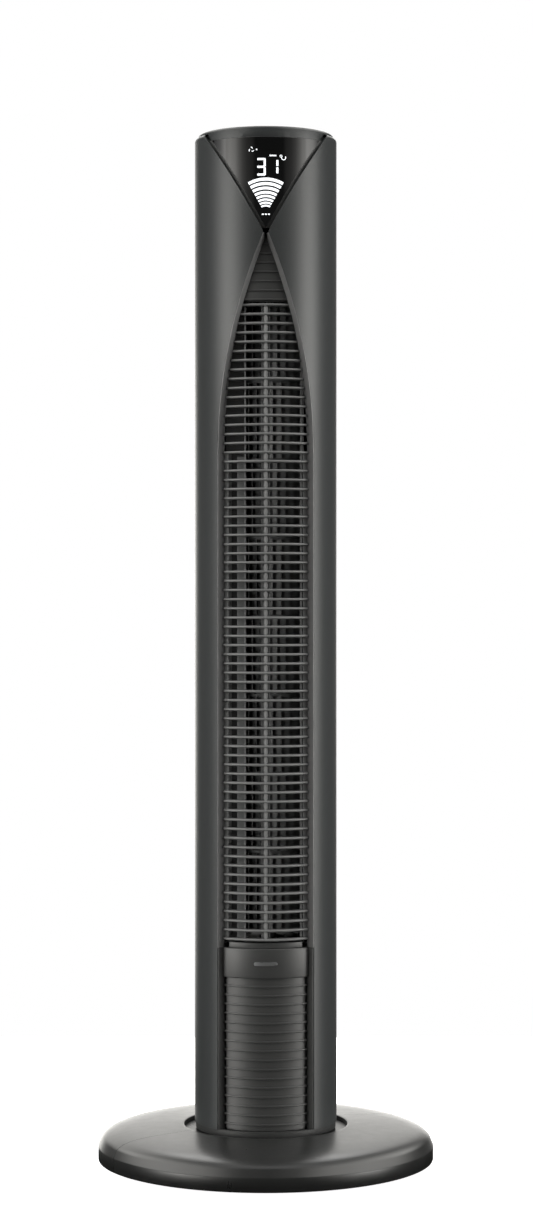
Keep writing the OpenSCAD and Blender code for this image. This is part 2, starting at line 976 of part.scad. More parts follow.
module motor_bell(z0, up) {
    color([0.65, 0.65, 0.67])
        at_impeller()
            difference() {
                peg(motor_r, z0, z0 + bell_h);
                peg(bolt_c - bolt_r - 1.5, z0 + (up ? -1 : 3), z0 + (up ? bell_h - 3 : bell_h + 1));
                peg(8, 0, total_h);
                for (a = [45:90:315])
                    rotate([0, 0, a])
                        translate([bolt_c, 0, 0])
                            peg(bolt_r, 0, total_h);
            }
}

module motor_bell_lower() {
    motor_bell(motor_z, false);
}

module motor_bell_upper() {
    motor_bell(motor_top - bell_h, true);
}

module motor_bearings() {
    color([0.75, 0.6, 0.35])
        at_impeller()
            for (z = [motor_z, motor_top - 5])
                difference() {
                    peg(8, z, z + 5);
                    peg(shaft_r + run_fit, 0, total_h);
                }
}

module motor_bolts() {
    color([0.8, 0.8, 0.82])
        at_bolts() {
            peg(bolt_r, motor_z, deck_z + deck_t);
            peg(bolt_r + 2, motor_z - 2.5, motor_z);
            translate([0, 0, deck_z + deck_t])
                cylinder(r = bolt_r + 2.2, h = 2.4, $fn = 6);
        }
}

module motor_rotor() {
    z = motor_z + bell_h;
    color([0.6, 0.6, 0.62])
        at_impeller()
            union() {
                peg(rotor_r, z, z + stator_h);
                peg(shaft_r, motor_z - 4, imp_z + 12);
            }
}

module impeller_hub() {
    color([0.2, 0.2, 0.21])
        at_impeller()
            difference() {
                union() {
                    peg(disc_r, imp_z, imp_z + disc_t);
                    peg(10, imp_z - 2, imp_z + 14);
                }
                peg(shaft_r, 0, imp_z + 12);
            }
}

module impeller_segment(i) {
    z = imp_z + disc_t + (i - 1) * seg_len;
    color([0.22, 0.22, 0.23])
        at_impeller()
            rotate([0, 0, i * 360 / blades / 2])
                union() {
                    if (i > 1)
                        ring(hole_in, disc_r, z, z + disc_t);
                    for (k = [0:blades - 1])
                        rotate([0, 0, 360 * k / blades])
                            translate([0, 0, z])
                                linear_extrude(seg_len)
                                    blade_outline();
                    ring(imp_r - 1.4, imp_r - 0.2, z + seg_len - 1.2, z + seg_len);
                }
}

// A blade curves forward from its inner edge to the rim
function blade_mid(u) = let (r = imp_r - 8 + 8 * u, a = 13 * u * u) r * [cos(a), sin(a)];
function blade_side(u, s) = let (p = blade_mid(u), d = blade_mid(u + 0.01) - blade_mid(u - 0.01))
    p + s * blade_t / 2 * [-d[1], d[0]] / norm(d);

module blade_outline() {
    polygon(concat([for (u = [0:0.25:1]) blade_side(u, 1)], [for (u = [1:-0.25:0]) blade_side(u, -1)]));
}

module impeller_top_disc() {
    color([0.75, 0.75, 0.77])
        at_impeller()
            union() {
                peg(disc_r, imp_top - disc_t, imp_top);
                peg(9, imp_top, imp_top + 2.5);
                peg(stub_r, imp_top, top_deck_z + deck_t + 2);
            }
}

// ---------- electrics ----------

power_y = -(trim_r - 2.5 - 14);
power_w = 52;
cap_size = [14, 22, 34];

module power_board() {
    color([0.12, 0.32, 0.16])
        union() {
            translate([-power_w / 2, power_y, turn_z + turn_t])
                cube([power_w, 1.6, 74]);
            translate([-20, power_y + 1.6, turn_z + turn_t + 44])
                cube([24, 18, 20]);
            for (x = [8, 16])
                translate([x, power_y + 1.6, turn_z + turn_t + 50])
                    rotate([-90, 0, 0])
                        cylinder(r = 3.5, h = 10);
        }
}

module run_capacitor() {
    color([0.85, 0.85, 0.82])
        translate([-inner_r + 11, -33, deck_z - cap_size[2]])
            cube(cap_size);
}

module wiring() {
    color([0.05, 0.05, 0.05])
        rotate([0, 0, wire_dir])
            translate([wire_c, 0, 0])
                peg(wire_r, turn_z + turn_t, board_z);
}

base_half_front();
base_half_rear();
base_feet();
base_screws();
swivel_plate();
slip_ring();
swing_gear();
spindle_nut();
turntable();
swing_motor();
swing_pinion();
swing_shaft();
side_shell_left();
side_shell_right();
rear_shell();
rear_shell_top();
rear_grille();
grip_cup();
cord_gland();
column_screws();
front_grille();
lens_trim();
lower_trim();
upper_insert();
badge_plate();
lower_panel();
display_frame();
display_panel();
display_board();
top_cap();
control_board();
lower_deck();
upper_deck();
scroll_duct();
tongue();
bearing_mount();
upper_bearing();
motor_stator();
motor_bell_lower();
motor_bell_upper();
motor_bearings();
motor_bolts();
run_capacitor();
power_board();
wiring();
impeller_hub();
impeller_top_disc();
motor_rotor();
for (i = [1:segments])
    impeller_segment(i);
for (i = [0:len(buttons) - 1])
    button(i);
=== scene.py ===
"""A slim tower fan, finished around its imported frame."""
import json
from math import asin, cos, pi, radians, sin, sqrt

import bmesh
import bpy
from bpy.props import FloatProperty, FloatVectorProperty, PointerProperty
from mathutils import Matrix, Vector

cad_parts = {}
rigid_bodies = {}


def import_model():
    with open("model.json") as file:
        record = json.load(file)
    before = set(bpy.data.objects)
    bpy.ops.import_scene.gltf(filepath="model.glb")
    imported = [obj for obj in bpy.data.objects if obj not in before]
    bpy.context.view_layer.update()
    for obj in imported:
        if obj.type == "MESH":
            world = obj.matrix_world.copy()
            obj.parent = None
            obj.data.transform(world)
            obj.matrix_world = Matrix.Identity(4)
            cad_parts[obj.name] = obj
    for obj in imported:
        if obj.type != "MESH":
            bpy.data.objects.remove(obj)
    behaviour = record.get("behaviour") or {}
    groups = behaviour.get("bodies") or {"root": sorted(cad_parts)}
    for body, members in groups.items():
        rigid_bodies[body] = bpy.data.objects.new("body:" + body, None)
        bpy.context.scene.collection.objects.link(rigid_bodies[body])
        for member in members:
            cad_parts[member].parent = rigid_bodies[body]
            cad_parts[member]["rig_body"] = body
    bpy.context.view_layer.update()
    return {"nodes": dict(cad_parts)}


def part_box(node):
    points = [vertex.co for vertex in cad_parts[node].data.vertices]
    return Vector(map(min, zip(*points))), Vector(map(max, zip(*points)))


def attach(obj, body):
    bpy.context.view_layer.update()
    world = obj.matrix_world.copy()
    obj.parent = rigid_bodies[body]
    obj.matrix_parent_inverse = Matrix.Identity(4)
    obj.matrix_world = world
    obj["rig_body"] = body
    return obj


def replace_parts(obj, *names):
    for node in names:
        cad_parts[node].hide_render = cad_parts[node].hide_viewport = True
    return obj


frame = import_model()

bl_info = {
    "name": "Tower fan",
    "version": (1, 0, 0),
    "blender": (4, 5, 0),
    "location": "3D View > Sidebar > Tower fan",
    "description": "Makes the finished pieces of a tower fan, its materials and its studio",
    "category": "Object",
}

MM = 0.001

# ---------- places taken from the frame ----------

SHELL_LOW, SHELL_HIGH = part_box("side_shell_right")
TRIM_LOW, TRIM_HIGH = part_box("lens_trim")
PANEL_LOW, PANEL_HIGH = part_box("display_panel")
GRILLE_LOW, GRILLE_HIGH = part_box("front_grille")
INSERT_LOW, INSERT_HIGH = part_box("upper_insert")
BADGE_LOW, BADGE_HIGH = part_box("badge_plate")
LOWER_LOW, LOWER_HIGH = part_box("lower_panel")
BASE_LOW, BASE_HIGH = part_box("base_half_front")
DISC_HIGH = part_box("swivel_plate")[1]

COLUMN_R = SHELL_HIGH.x
COLUMN_Z = SHELL_LOW.z
LIP_Z = SHELL_HIGH.z
WALL = 2.4 * MM
SLAT_R = -GRILLE_LOW.y
SLAT_DEEP = 8 * MM
SLAT_T = 2.4 * MM
PITCH = 8.46 * MM
TRIM_T = 1.3 * MM
TRIM_IN = SLAT_R - 3 * MM
TRIM_OUT = COLUMN_R - 0.2 * MM
TAPER = 206.7 * MM
GROOVE = 3.8 * MM
V_TIP = PANEL_LOW.z - 3.5 * MM
BEND_Z = V_TIP + 5.7 * MM - TAPER
OPEN_W = TRIM_HIGH.x * COLUMN_R / TRIM_OUT
OPEN_ANGLE = asin(OPEN_W / COLUMN_R)
TRIM_ANGLE = asin(TRIM_T / COLUMN_R)
REAR_HALF = radians(50)
SEAM = 0.4 * MM
PANEL_ANGLE = asin((OPEN_W - TRIM_T) / COLUMN_R)
LENS_R = COLUMN_R - 0.3 * MM
LIP_H = 3.5 * MM  # height of the curl at the top of the shells
LIP_IN = 2.9 * MM  # how far that curl comes in
RIB_H = 1.8 * MM  # height of a rib on the closed panels

# Upright bars among the slats: places across the front, and pairs of width and depth
SPINE = 6.2 * MM
SPINE_POST = (1.6 * MM, 3 * MM)
THIN_BARS_X = (-18.9 * MM, 32.5 * MM)
THIN_BAR = (1.4 * MM, 2.2 * MM)
# A pale bar behind the slats in the impeller's lighter plastic: painted light standing in for the lit face of
# the tongue
TONGUE_LIGHT_X = -22.9 * MM
TONGUE_LIGHT_BAR = (6.6 * MM, 1.6 * MM)
BEAD_NARROW, BEAD_WIDE = 1.1 * MM, 3.8 * MM

# The base
BASE_R = max(BASE_HIGH.x, -BASE_LOW.x)
RIM_Z = 15 * MM
DOME_Z = BASE_HIGH.z
DOME_BULGE = 9 * MM
BULGE_BIAS = 0.45  # below 1, the dome is fullest nearer its rim
MOUTH_R = DISC_HIGH.x + 0.5 * MM
PLATE_Z = 29.7 * MM
BASE_WALL = 2.6 * MM
BASE_FOOT_Z = 1.5 * MM  # height of the base's lower edge above the floor
SEAM_DIR = radians(27.5)

# Cleaning of the copies of frame nodes: distance, then angles in degrees
CAD_MERGE = 2e-6
CAD_FLAT = 0.4
CAD_SMOOTH = 32


def open_half(z):
    """Half width of the front opening at a height."""
    return OPEN_W if z < BEND_Z else OPEN_W * max(0.0, 1 - ((z - BEND_Z) / TAPER) ** 2)


def lens_angle(z):
    return asin(open_half(z) / COLUMN_R)


def v_angle(z, grow=0.0):
    """Half angle of the display's triangle at a height, widened by grow."""
    t = (z - V_TIP) / MM
    return asin(max(0.0, (0.53 * t + 0.00076 * t * t) * MM + grow) / COLUMN_R)


def polar(radius, angle, z):
    """A point at an angle from the front, towards +X."""
    return Vector((radius * sin(angle), -radius * cos(angle), z))


# ---------- mesh tools ----------


def flat_piece(bm, name, material, body="column"):
    """Turns a bmesh into a flat-shaded piece that rides on a body."""
    mesh = bpy.data.meshes.new(name)
    bm.to_mesh(mesh)
    bm.free()
    piece = bpy.data.objects.new(name, mesh)
    bpy.context.scene.collection.objects.link(piece)
    mesh.materials.append(MATERIALS[material]())
    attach(piece, body)
    return piece


def finish(bm, name, material, body="column", smooth=35):
    """Turns a closed bmesh into a smooth piece whose steeper edges stay sharp."""
    bmesh.ops.recalc_face_normals(bm, faces=bm.faces)
    piece = flat_piece(bm, name, material, body)
    piece.data.shade_smooth()
    piece.data.set_sharp_from_angle(angle=radians(smooth))
    return piece


def bevel_modifier(piece, width, segments=3, angle=40):
    modifier = piece.modifiers.new("edges", "BEVEL")
    modifier.width = width
    modifier.segments = segments
    modifier.limit_method = "ANGLE"
    modifier.angle_limit = radians(angle)
    modifier.harden_normals = True
    return piece


def join(bm, made):
    """Adds a finished bmesh to another."""
    mesh = bpy.data.meshes.new("part")
    made.to_mesh(mesh)
    made.free()
    bm.from_mesh(mesh)
    bpy.data.meshes.remove(mesh)


def loft(bm, rings):
    """A bar that starts from one closed outline and is extruded to each next one."""
    verts = [bm.verts.new(p) for p in rings[0]]
    face = bm.faces.new(verts)
    for ring in rings[1:]:
        made = bmesh.ops.extrude_face_region(bm, geom=[face])["geom"]
        faces = [g for g in made if isinstance(g, bmesh.types.BMFace)]
        new = {g for g in made if isinstance(g, bmesh.types.BMVert)}
        following = []
        for old in verts:
            mate = next(e.other_vert(old) for e in old.link_edges if e.other_vert(old) in new)
            following.append(mate)
        for vert, place in zip(following, ring):
            vert.co = place
        if face.is_valid and len(rings) > 2 and ring is not rings[1]:
            bm.faces.remove(face)
        face = faces[0]
        verts = following
    return bm


def patch(bm, columns, rows, place):
    """A sheet of quads: place(u, v) gives each point, u and v running from 0 to 1."""
    made = bmesh.ops.create_grid(bm, x_segments=columns, y_segments=rows, size=0.5)
    for vert in made["verts"]:
        vert.co = place(vert.co.x + 0.5, vert.co.y + 0.5)
    return made["verts"]


def thicken(piece, thickness, offset=-1):
    modifier = piece.modifiers.new("wall", "SOLIDIFY")
    modifier.thickness = thickness
    modifier.offset = offset
    modifier.use_even_offset = True
    return piece


def rounded(points, radius, steps=3):
    """A closed outline whose corners are arcs; points are (a, b) pairs."""
    outline = []
    n = len(points)
    for i, p in enumerate(points):
        p = Vector(p)
        before = Vector(points[i - 1]) - p
        after = Vector(points[(i + 1) % n]) - p
        cut = min(radius, before.length * 0.45, after.length * 0.45)
        start = p + before.normalized() * cut
        end = p + after.normalized() * cut
        for k in range(steps + 1):
            t = k / steps
            outline.append((1 - t) ** 2 * start + 2 * t * (1 - t) * p + t * t * end)
    return outline


def arc_bar(bm, outline, low, high, steps):
    """An outline of (radius, height) pairs spun round the column between two angles."""
    made = bmesh.new()
    verts = [made.verts.new(polar(p[0], low, p[1])) for p in outline]
    face = made.faces.new(verts)
    bmesh.ops.spin(made, geom=[face, *face.edges, *verts], cent=(0, 0, 0), axis=(0, 0, 1), dvec=(0, 0, 0),
                   angle=high - low, steps=steps, use_merge=False, use_duplicate=False)
    join(bm, made)


def box_outline(r0, r1, z0, z1):
    return [(r0, z0), (r1, z0), (r1, z1), (r0, z1)]


def cad_copy(node, name, material, width=0.0):
    """A cleaned copy of a frame node: merged, smoothed, its sharp edges softened."""
    source = frame["nodes"][node]
    body = source["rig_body"]
    bm = bmesh.new()
    bm.from_mesh(source.data)
    bmesh.ops.remove_doubles(bm, verts=bm.verts, dist=CAD_MERGE)
    bmesh.ops.dissolve_limit(bm, angle_limit=radians(CAD_FLAT), verts=bm.verts, edges=bm.edges)
    piece = finish(bm, name, material, body, CAD_SMOOTH)
    if width:
        bevel_modifier(piece, width, 2)
    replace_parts(piece, node)
    return piece


def dress(material, *names):
    """Gives frame nodes whose shape is right a finished material."""
    shader = MATERIALS[material]()
    for name in names:
        mesh = frame["nodes"][name].data
        mesh.materials.clear()
        mesh.materials.append(shader)


# ---------- shader tools ----------


class Signal:
    """One output in a node tree, usable in arithmetic."""

    def __init__(self, tree, socket):
        self.tree = tree
        self.socket = socket

    def math(self, operation, other, swapped=False):
        a, b = (other, self) if swapped else (self, other)
        return node(self.tree, "ShaderNodeMath", {"operation": operation}, {0: a, 1: b})

    def __add__(self, other):
        return self.math("ADD", other)

    __radd__ = __add__

    def __sub__(self, other):
        return self.math("SUBTRACT", other)

    def __rsub__(self, other):
        return self.math("SUBTRACT", other, True)

    def __mul__(self, other):
        return self.math("MULTIPLY", other)

    __rmul__ = __mul__

    def __truediv__(self, other):
        return self.math("DIVIDE", other)


def node(tree, kind, settings=None, inputs=None, output=0):
    """Adds a node: its settings first, then the values or links of its sockets."""
    made = tree.nodes.new(kind)
    for key, value in (settings or {}).items():
        if key == "stops":
            ramp = made.color_ramp
            while len(ramp.elements) < len(value):
                ramp.elements.new(1.0)
            for element, (position, colour) in zip(ramp.elements, value):
                element.position = position
                element.color = (*colour, 1) if len(colour) == 3 else colour
        else:
            setattr(made, key, value)
    for key, value in (inputs or {}).items():
        if isinstance(value, Signal):
            tree.links.new(value.socket, made.inputs[key])
        else:
            made.inputs[key].default_value = value
    return Signal(tree, made.outputs[output]) if len(made.outputs) else None


def new_material(name):
    material = bpy.data.materials.new(name)
    material.use_nodes = True
    tree = material.node_tree
    tree.nodes.clear()
    return material, tree


def place(tree):
    return node(tree, "ShaderNodeTexCoord", output="Object")


def stretch(tree, scale, source=None):
    return node(tree, "ShaderNodeMapping", {}, {"Vector": source or place(tree), "Scale": scale})


def noise(tree, scale, detail=2.0, rough=0.5, vector=None):
    return node(tree, "ShaderNodeTexNoise", {}, {
        "Vector": vector or place(tree), "Scale": scale, "Detail": detail, "Roughness": rough})


def ramp(tree, factor, stops):
    return node(tree, "ShaderNodeValToRGB", {"stops": stops}, {"Fac": factor})


def span(tree, value, low, high, to_low, to_high):
    return node(tree, "ShaderNodeMapRange", {"clamp": True}, {
        "Value": value, "From Min": low, "From Max": high, "To Min": to_low, "To Max": to_high})


def mix_colour(tree, factor, a, b):
    """Mixes two colours; the node's colour sockets are its seventh and eighth, its result the third."""
    return node(tree, "ShaderNodeMix", {"data_type": "RGBA"}, {0: factor, 6: (*a, 1), 7: (*b, 1)}, 2)


def bump(tree, height, strength, distance):
    return node(tree, "ShaderNodeBump", {}, {"Height": height, "Strength": strength, "Distance": distance})


def surface(tree, **values):
    """The shader and its output; names are the shader's sockets with _ for a space."""
    shader = node(tree, "ShaderNodeBsdfPrincipled", {}, {
        key.replace("_", " "): (*value, 1) if isinstance(value, tuple) else value
        for key, value in values.items()})
    node(tree, "ShaderNodeOutputMaterial", {}, {"Surface": shader})


def scaled(colour, factor):
    return tuple(min(1.0, c * factor) for c in colour)


MATERIALS = {}


def finish_of():
    """Marks a function as the maker of a finish; it is made once and then shared."""
    def keep(make):
        made = []

        def once():
            if not made:
                made.append(make())
            return made[0]

        MATERIALS[make.__name__] = once
        return once
    return keep


def moulded(name, colour, rough, grain=0.06, grain_scale=2600.0, specular=0.5):
    """Moulded plastic: fine spark-eroded grain, slow mottling, faint handling marks."""
    material, tree = new_material(name)
    fine = noise(tree, grain_scale, 3.0, 0.6)
    slow = noise(tree, 14.0, 3.0, 0.55)
    marks = noise(tree, 90.0, 4.0, 0.6, stretch(tree, (1.0, 1.0, 0.35)))
    tint = mix_colour(tree, span(tree, slow, 0.3, 0.7, 0.0, 1.0), scaled(colour, 0.86), scaled(colour, 1.12))
    roughness = rough + (marks - 0.5) * 0.10 + (slow - 0.5) * 0.06
    surface(tree, Base_Color=tint, Roughness=roughness, Specular_IOR_Level=specular,
            Normal=bump(tree, fine, grain, 0.00012))
    return material


@finish_of()
def shell_paint():
    """Satin charcoal paint with fine metallic flake and a faint orange peel."""
    look = bpy.context.scene.fan_looks
    colour = tuple(look.shell_colour)
    material, tree = new_material("shell_paint")
    flake = node(tree, "ShaderNodeTexVoronoi", {}, {"Vector": place(tree), "Scale": 4200.0}, "Color")
    flake = node(tree, "ShaderNodeSeparateColor", {}, {"Color": flake})
    peel = noise(tree, 420.0, 2.0, 0.5)
    slow = noise(tree, 9.0, 3.0, 0.5, stretch(tree, (1.0, 1.0, 0.4)))
    tint = mix_colour(tree, span(tree, flake, 0.0, 1.0, 0.0, 1.0), scaled(colour, 0.8), scaled(colour, 1.22))
    roughness = look.shell_roughness + (slow - 0.5) * 0.05 + (flake - 0.5) * 0.05
    surface(tree, Base_Color=tint, Metallic=0.08, Roughness=roughness, Specular_IOR_Level=0.5,
            Normal=bump(tree, peel + flake * 0.25, 0.05, 0.0001))
    return material


@finish_of()
def trim_paint():
    """Satin grey trim, drawn along its length."""
    material, tree = new_material("trim_paint")
    drawn = noise(tree, 600.0, 3.0, 0.6, stretch(tree, (1.0, 1.0, 0.05)))
    slow = noise(tree, 20.0)
    colour = tuple(bpy.context.scene.fan_looks.trim_colour)
    tint = mix_colour(tree, drawn, scaled(colour, 0.85), scaled(colour, 1.15))
    surface(tree, Base_Color=tint, Metallic=0.5, Roughness=0.42 + (drawn - 0.5) * 0.12 + (slow - 0.5) * 0.05,
            Normal=bump(tree, drawn, 0.04, 0.0001))
    return material


@finish_of()
def grille_plastic():
    return moulded("grille_plastic", tuple(bpy.context.scene.fan_looks.grille_colour), 0.42, 0.05)


@finish_of()
def panel_plastic():
    return moulded("panel_plastic", tuple(bpy.context.scene.fan_looks.panel_colour), 0.40, 0.07)


@finish_of()
def base_plastic():
    return moulded("base_plastic", tuple(bpy.context.scene.fan_looks.base_colour), 0.3, 0.05)


@finish_of()
def duct_plastic():
    return moulded("duct_plastic", (0.03, 0.031, 0.031), 0.5, 0.08)


@finish_of()
def intake_plastic():
    return moulded("intake_plastic", (0.02, 0.021, 0.022), 0.46, 0.08)


@finish_of()
def impeller_plastic():
    return moulded("impeller_plastic", (0.14, 0.144, 0.146), 0.42, 0.04)


@finish_of()
def button_plastic():
    return moulded("button_plastic", (0.02, 0.02, 0.021), 0.34, 0.03)


@finish_of()
def rubber():
    return moulded("rubber", (0.016, 0.016, 0.016), 0.78, 0.25, 1400.0, 0.3)


@finish_of()
def acetal():
    return moulded("acetal", (0.62, 0.6, 0.53), 0.36, 0.03)


@finish_of()
def cast_alloy():
    return metal("cast_alloy", (0.42, 0.43, 0.44), 0.5, 500.0)


@finish_of()
def steel():
    return metal("steel", (0.5, 0.5, 0.51), 0.28, 1500.0)


@finish_of()
def dark_steel():
    return metal("dark_steel", (0.06, 0.06, 0.065), 0.36, 1500.0)


def metal(name, colour, rough, scale):
    """Turned or cast metal: fine grain in its gloss and a slow change of tone."""
    material, tree = new_material(name)
    grain = noise(tree, scale, 3.0, 0.6)
    slow = noise(tree, 30.0)
    tint = mix_colour(tree, slow, scaled(colour, 0.82), scaled(colour, 1.1))
    surface(tree, Base_Color=tint, Metallic=1.0, Roughness=rough + (grain - 0.5) * 0.16,
            Normal=bump(tree, grain, 0.06, 0.0001))
    return material


@finish_of()
def circuit_board():
    """Green solder mask over faint copper tracks."""
    material, tree = new_material("circuit_board")
    tracks = node(tree, "ShaderNodeTexBrick", {}, {
        "Vector": place(tree), "Scale": 260.0, "Mortar Size": 0.06, "Color1": (0.010, 0.075, 0.03, 1),
        "Color2": (0.012, 0.09, 0.035, 1), "Mortar": (0.03, 0.16, 0.06, 1)}, "Color")
    surface(tree, Base_Color=tracks, Roughness=0.35 + (noise(tree, 200.0) - 0.5) * 0.2)
    return material


@finish_of()
def display_gloss():
    """Polished black lens with a soft haze of hairline scratches."""
    material, tree = new_material("display_gloss")
    hair = noise(tree, 260.0, 4.0, 0.7, stretch(tree, (1.0, 1.0, 0.08)))
    haze = noise(tree, 22.0, 3.0)
    tint = mix_colour(tree, haze, (0.0030, 0.0032, 0.0034), (0.0048, 0.0050, 0.0052))
    surface(tree, Base_Color=tint, Roughness=0.055 + (haze - 0.5) * 0.03 + (hair - 0.5) * 0.02,
            Specular_IOR_Level=0.62, Normal=bump(tree, hair, 0.01, 0.00005))
    return material


@finish_of()
def display_light():
    """Lit legend behind the lens, its tint changing a little from place to place."""
    material, tree = new_material("display_light")
    look = bpy.context.scene.fan_looks
    glow = noise(tree, 700.0, 2.0)
    tint = mix_colour(tree, glow, (0.86, 0.93, 1.0), (1.0, 1.0, 1.0))
    surface(tree, Base_Color=(0.7, 0.72, 0.75), Roughness=0.3 + glow * 0.1, Emission_Color=tint,
            Emission_Strength=look.display_strength)
    return material


@finish_of()
def legend_ink():
    """Pale pad-printed ink."""
    material, tree = new_material("legend_ink")
    worn = noise(tree, 900.0, 3.0)
    tint = mix_colour(tree, worn, (0.42, 0.43, 0.44), (0.62, 0.63, 0.64))
    surface(tree, Base_Color=tint, Roughness=0.5 + (worn - 0.5) * 0.2)
    return material


@finish_of()
def badge_metal():
    """Fine brushed blank name plate."""
    material, tree = new_material("badge_metal")
    brushed = noise(tree, 900.0, 3.0, 0.6, stretch(tree, (0.04, 1.0, 1.0)))
    tint = mix_colour(tree, brushed, (0.32, 0.33, 0.34), (0.5, 0.51, 0.52))
    surface(tree, Base_Color=tint, Metallic=0.9, Roughness=0.3 + (brushed - 0.5) * 0.2,
            Normal=bump(tree, brushed, 0.06, 0.0001))
    return material


# ---------- shells ----------


def shell_height(v):
    """Heights of the shell's rows, closer together where its edge curves."""
    stops = ((0.0, COLUMN_Z), (0.16, BEND_Z), (0.6, V_TIP), (0.9, LIP_Z - LIP_H), (1.0, LIP_Z))
    for (v0, z0), (v1, z1) in zip(stops, stops[1:]):
        if v <= v1 + 1e-9:
            return z0 + (z1 - z0) * (v - v0) / (v1 - v0)
    return LIP_Z


def shell_edge(z):
    """Angle of the shell's front edge: the opening below, the display's triangle above."""
    lens = lens_angle(z)
    vee = v_angle(z, GROOVE / 2) if z > V_TIP - 3 * MM else 0.0
    return max(lens, vee)


def shell_radius(z):
    """Radius and height of the shell at a row; its top curls inwards."""
    over = (z - (LIP_Z - LIP_H)) / LIP_H
    if over <= 0:
        return COLUMN_R, z
    turn = over * pi / 2
    return COLUMN_R - LIP_IN * (1 - cos(turn)), LIP_Z - LIP_H + LIP_H * sin(turn)


def face_outward(bm):
    """Turns an open sheet's faces away from the column's axis."""
    bm.normal_update()
    face = max(bm.faces, key=lambda f: f.calc_area())
    centre = face.calc_center_median()
    if face.normal.dot(Vector((centre.x, centre.y, 0))) < 0:
        bmesh.ops.reverse_faces(bm, faces=bm.faces)


def sheet_piece(bm, name, material, thickness, width, body="column"):
    """An open sheet with its faces outwards, given a wall inwards and soft edges."""
    face_outward(bm)
    piece = flat_piece(bm, name, material, body)
    piece.data.shade_smooth()
    thicken(piece, thickness)
    return bevel_modifier(piece, width, 3, 50)


def make_side_shell(side, node_name):
    bm = bmesh.new()
    rear = pi - REAR_HALF - SEAM / 2 / COLUMN_R

    def point(u, v):
        z = shell_height(v)
        front = shell_edge(z)
        radius, height = shell_radius(z)
        return polar(radius, side * (front + (rear - front) * u), height)

    patch(bm, 44, 110, point)
    piece = sheet_piece(bm, node_name + "_skin", "shell_paint", WALL, bpy.context.scene.fan_sizes.shell_edge)
    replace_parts(piece, node_name)


# ---------- opening ----------


def trim_heights(low, high, steps):
    """Heights that crowd together towards the point of the opening."""
    heights = [low, BEND_Z - 150 * MM, BEND_Z - 60 * MM]
    return heights + [BEND_Z + (high - BEND_Z) * sqrt(i / steps) for i in range(steps + 1)]


def trim_width(z):
    """Width of the sloping trim, seen from the front."""
    slope = 2 * OPEN_W * max(0.0, z - BEND_Z) / TAPER ** 2
    narrow = min(1.0, max(0.0, (z - V_TIP + 45 * MM) / (45 * MM)))
    return (1 - 0.2 * narrow) * bpy.context.scene.fan_sizes.trim_width * sqrt(1 + slope * slope)


def make_trim():
    """A strip on each side that slopes from the shell's edge down to the slats."""
    bm = bmesh.new()
    soft = bpy.context.scene.fan_sizes.trim_edge
    floor_r = SLAT_R + 0.3 * MM
    for side in (-1, 1):
        rings = []
        for z in trim_heights(TRIM_LOW.z, V_TIP - 0.4 * MM, 44):
            outer = open_half(z) * TRIM_OUT / COLUMN_R - 0.05 * MM
            inner = max(1.0 * MM, outer - trim_width(z))
            depth = (TRIM_OUT - floor_r) * min(1.0, (outer - inner) / (3.2 * MM))
            land = min(soft, (outer - inner) * 0.25)
            corners = [
                (TRIM_IN, inner), (TRIM_OUT - depth, inner), (TRIM_OUT - depth * 0.06, outer - land * 1.5),
                (TRIM_OUT, outer - land), (TRIM_OUT, outer), (TRIM_IN, outer * TRIM_IN / TRIM_OUT)]
            rings.append([polar(r, side * asin(x / r), z) for r, x in corners])
        loft(bm, rings)
    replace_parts(finish(bm, "opening_trim", "trim_paint", smooth=20), "lens_trim")


def make_lower_trim():
    # The walls beside the lower panel, in the darkest plastic: painted shade standing in for the shade in
    # these channels
    bm = bmesh.new()
    low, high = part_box("lower_trim")
    outer_r = COLUMN_R - 0.8 * MM
    for side in (-1, 1):
        angles = sorted((side * OPEN_ANGLE, side * (OPEN_ANGLE - TRIM_ANGLE)))
        arc_bar(bm, rounded(box_outline(TRIM_IN, outer_r, low.z, high.z), 0.35 * MM), *angles, 2)
    piece = finish(bm, "channel_walls_painted_shade", "duct_plastic")
    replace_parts(piece, "lower_trim")


def slat_outline(z, nose):
    """Section of a slat: flat at the back, its nose rounded."""
    half = SLAT_T / 2
    back = SLAT_R - SLAT_DEEP
    rounding = ((2.2, 1.0), (0.9, 0.88), (0.2, 0.5))  # depth in noses, height in half slats
    lower = [(SLAT_R - depth * nose, z - half * rise) for depth, rise in rounding]
    upper = [(SLAT_R - depth * nose, z + half * rise) for depth, rise in reversed(rounding)]
    return [(back, z - half), *lower, (SLAT_R, z), *upper, (back, z + half)]


def slat_heights():
    low, high = GRILLE_LOW.z + SLAT_T / 2, GRILLE_HIGH.z - SLAT_T / 2
    count = round((high - low) / PITCH)
    return [low + i * (high - low) / count for i in range(count + 1)]


